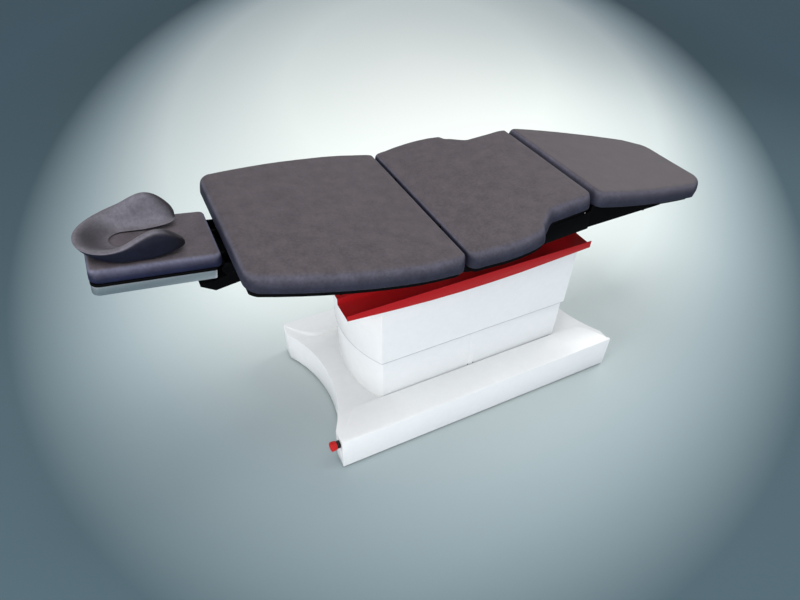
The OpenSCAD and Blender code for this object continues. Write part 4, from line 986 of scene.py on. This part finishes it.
def ring_strip(outline, proud, inset, z0, z1):
    """Points and faces of a thin strip that runs round a clockwise outline."""
    n = len(outline)
    along = [(outline[(i + 1) % n] - outline[i - 1]).normalized() for i in range(n)]
    section = [(proud, z0), (proud, z1), (-inset, z1), (-inset, z0)]
    points = [(p.x - t.y * out, p.y + t.x * out, z) for p, t in zip(outline, along) for out, z in section]
    faces = [(i * 4 + j, (i + 1) % n * 4 + j, (i + 1) % n * 4 + (j + 1) % 4, i * 4 + (j + 1) % 4)
             for i in range(n) for j in range(4)]
    return points, faces


def fittings(name, shape, places, slot_name, body, replaced=(), finish=None):
    """One piece made of the same shape at several places."""
    points, faces = shape
    all_points, all_faces = [], []
    for place in places:
        all_faces += [tuple(i + len(all_points) for i in face) for face in faces]
        all_points += [tuple(place @ Vector(tuple(c * MM for c in p))) for p in points]
    mesh = mesh_from(name, all_points, all_faces, Matrix.Identity(4))
    face_outward(mesh)
    link_piece(name, mesh, slot_name, body, replaced, finish=finish)


def at(x, y, z, tip=0.0):
    """A place in millimetres, tipped about the X axis by some degrees."""
    return Matrix.Translation((x * MM, y * MM, z * MM)) @ Matrix.Rotation(math.radians(tip), 4, "X")


def stud_rings():
    """A lock nut and the thread above it."""
    rings = [(7.6, NUT_LOW, "hex"), (8.5, NUT_LOW + 0.8, "hex"),
             (8.5, NUT_LOW + 5.2, "hex"), (7.6, NUT_LOW + 6, "hex")]
    z = NUT_LOW + 6
    while z + THREAD_PITCH < STUD_TOP:
        rings += [(STUD_R - 0.6, z + 0.1, "round"), (STUD_R, z + THREAD_PITCH / 2, "round"),
                  (STUD_R - 0.6, z + THREAD_PITCH, "round")]
        z += THREAD_PITCH
    return rings


SCREW = turned([(6.2, 0, "round"), (6.2, 1.1, "round"), (5.6, 2.5, "round"), (4.0, 3.2, "round"),
                (2.6, 3.2, "hex"), (2.5, 1.4, "hex")])
# Radius and height of each ring of the stop's knob, from under its skirt to the middle of its top
STOP_RINGS = [(STOP_R - 3.2, STOP_SKIRT), (STOP_R - 2.6, STOP_SKIRT - 0.6), (STOP_R - 1.6, STOP_SKIRT),
              (STOP_R - 0.3, STOP_SKIRT + 9), (STOP_R, STOP_TOP - 7.5), (STOP_R - 0.9, STOP_TOP - 4.2),
              (STOP_R - 3.4, STOP_TOP - 2.0), (STOP_R - 9, STOP_TOP - 0.6), (STOP_R - 17, STOP_TOP)]
corners = [(x, y) for x in (-FOOT_X, FOOT_X) for y in (-FOOT_Y, FOOT_Y)]
fittings("foot_studs_threaded", turned(stud_rings()), [at(BASE_X + x, y, 0) for x, y in corners],
         "bare_steel", "base", ("foot_studs",))
fittings("inlet_contacts", bar(-INLET_FLOOR, -4, -1, 1, -2.5, 2.5, 0.5),
         [at(BASE_X + INLET_X, y, INLET_Z + z) for y, z in ((-7, -2), (7, -2), (0, 3))], "bare_steel", "base")
fittings("cover_joint_strips",
         bar(COVER_JOINT_X - COVER_STRIP_HALF, COVER_JOINT_X + COVER_STRIP_HALF, -0.7, 0.3,
             COVER_FOOT_Z, COVER_TOP_Z, 0.3),
         [at(0, -COVER_SIDE_Y, 0),
          Matrix.Translation((0, COVER_SIDE_Y * MM, 0)) @ Matrix.Scale(-1, 4, (0, 1, 0))],
         "white_sheet", "base")
fittings("cover_joint_clips", bar(-2.2, 2.2, -1.6, 0, 0, 5, 0.6),
         [at(COVER_JOINT_X + x, side * COVER_SIDE_Y + (0 if side < 0 else 1.6), COVER_FOOT_Z + 1)
          for x in (-COVER_STRIP_HALF, COVER_STRIP_HALF) for side in (-1, 1)], "dark_plastic", "base")
# Black strip round the top of the headrest band in the board's finish: the board's edge, and also a painted
# shadow for the gap under the pad
fittings("band_edge_strip",
         ring_strip(band_outline(), BAND_EDGE_PROUD, 4.5, BAND_H / 2 - BAND_EDGE_H, BAND_H / 2 + 0.3),
         [IN_HEAD], "board", "head_slide")
# Seal strip round the upper cover's mouth; its grey is also a painted shadow line at the overlap
fittings("cover_mouth_seal_and_shadow_line",
         ring_strip(cover_outline(COVER_HALF_L, UPPER_SIDE_Y, COVER_BULGE), 0.5, 2.5,
                    UPPER_FOOT_Z, UPPER_FOOT_Z + SEAL_H),
         [at(0, 0, 0)], "white_plastic", "carriage", finish=SEAL_AND_SHADOW_LINE)
fittings("stop_knob_skirted", turned([(r, z, "round") for r, z in STOP_RINGS], 32),
         [at(STOP_X, STOP_Y, STOP_Z) @ Matrix.Rotation(math.radians(-90), 4, "Y")], "red_knob", "stop_knob",
         ("e_stop_knob",))
fittings("back_rail_screws", SCREW,
         [IN_BACK @ at(-x, y, -BACK_RAIL_N, 180) for x in BACK_SCREWS_X for y in (-BACK_RAIL_Y, BACK_RAIL_Y)],
         "bare_steel", "back")
fittings("leg_rail_screws", SCREW,
         [IN_LEG @ at(x, y, -LEG_RAIL_N, 180) for x in LEG_SCREWS_X for y in (-LEG_RAIL_Y, LEG_RAIL_Y)],
         "bare_steel", "leg")


# ---------------------------------------------------------------- finishes of the frame's own pieces
# Pins and rods that are black here, although their slots are bare metal
BLACKENED = ("headrest_pin", "headrest_rods", "back_hinge_pins", "leg_hinge_pins")
for part in frame["record"]["subparts"]:
    cad = frame["nodes"][part["node"]]
    finish = "black_steel" if part["node"] in BLACKENED else part["material_slot"]
    cad.data.materials.clear()
    cad.data.materials.append(MATERIALS[finish])
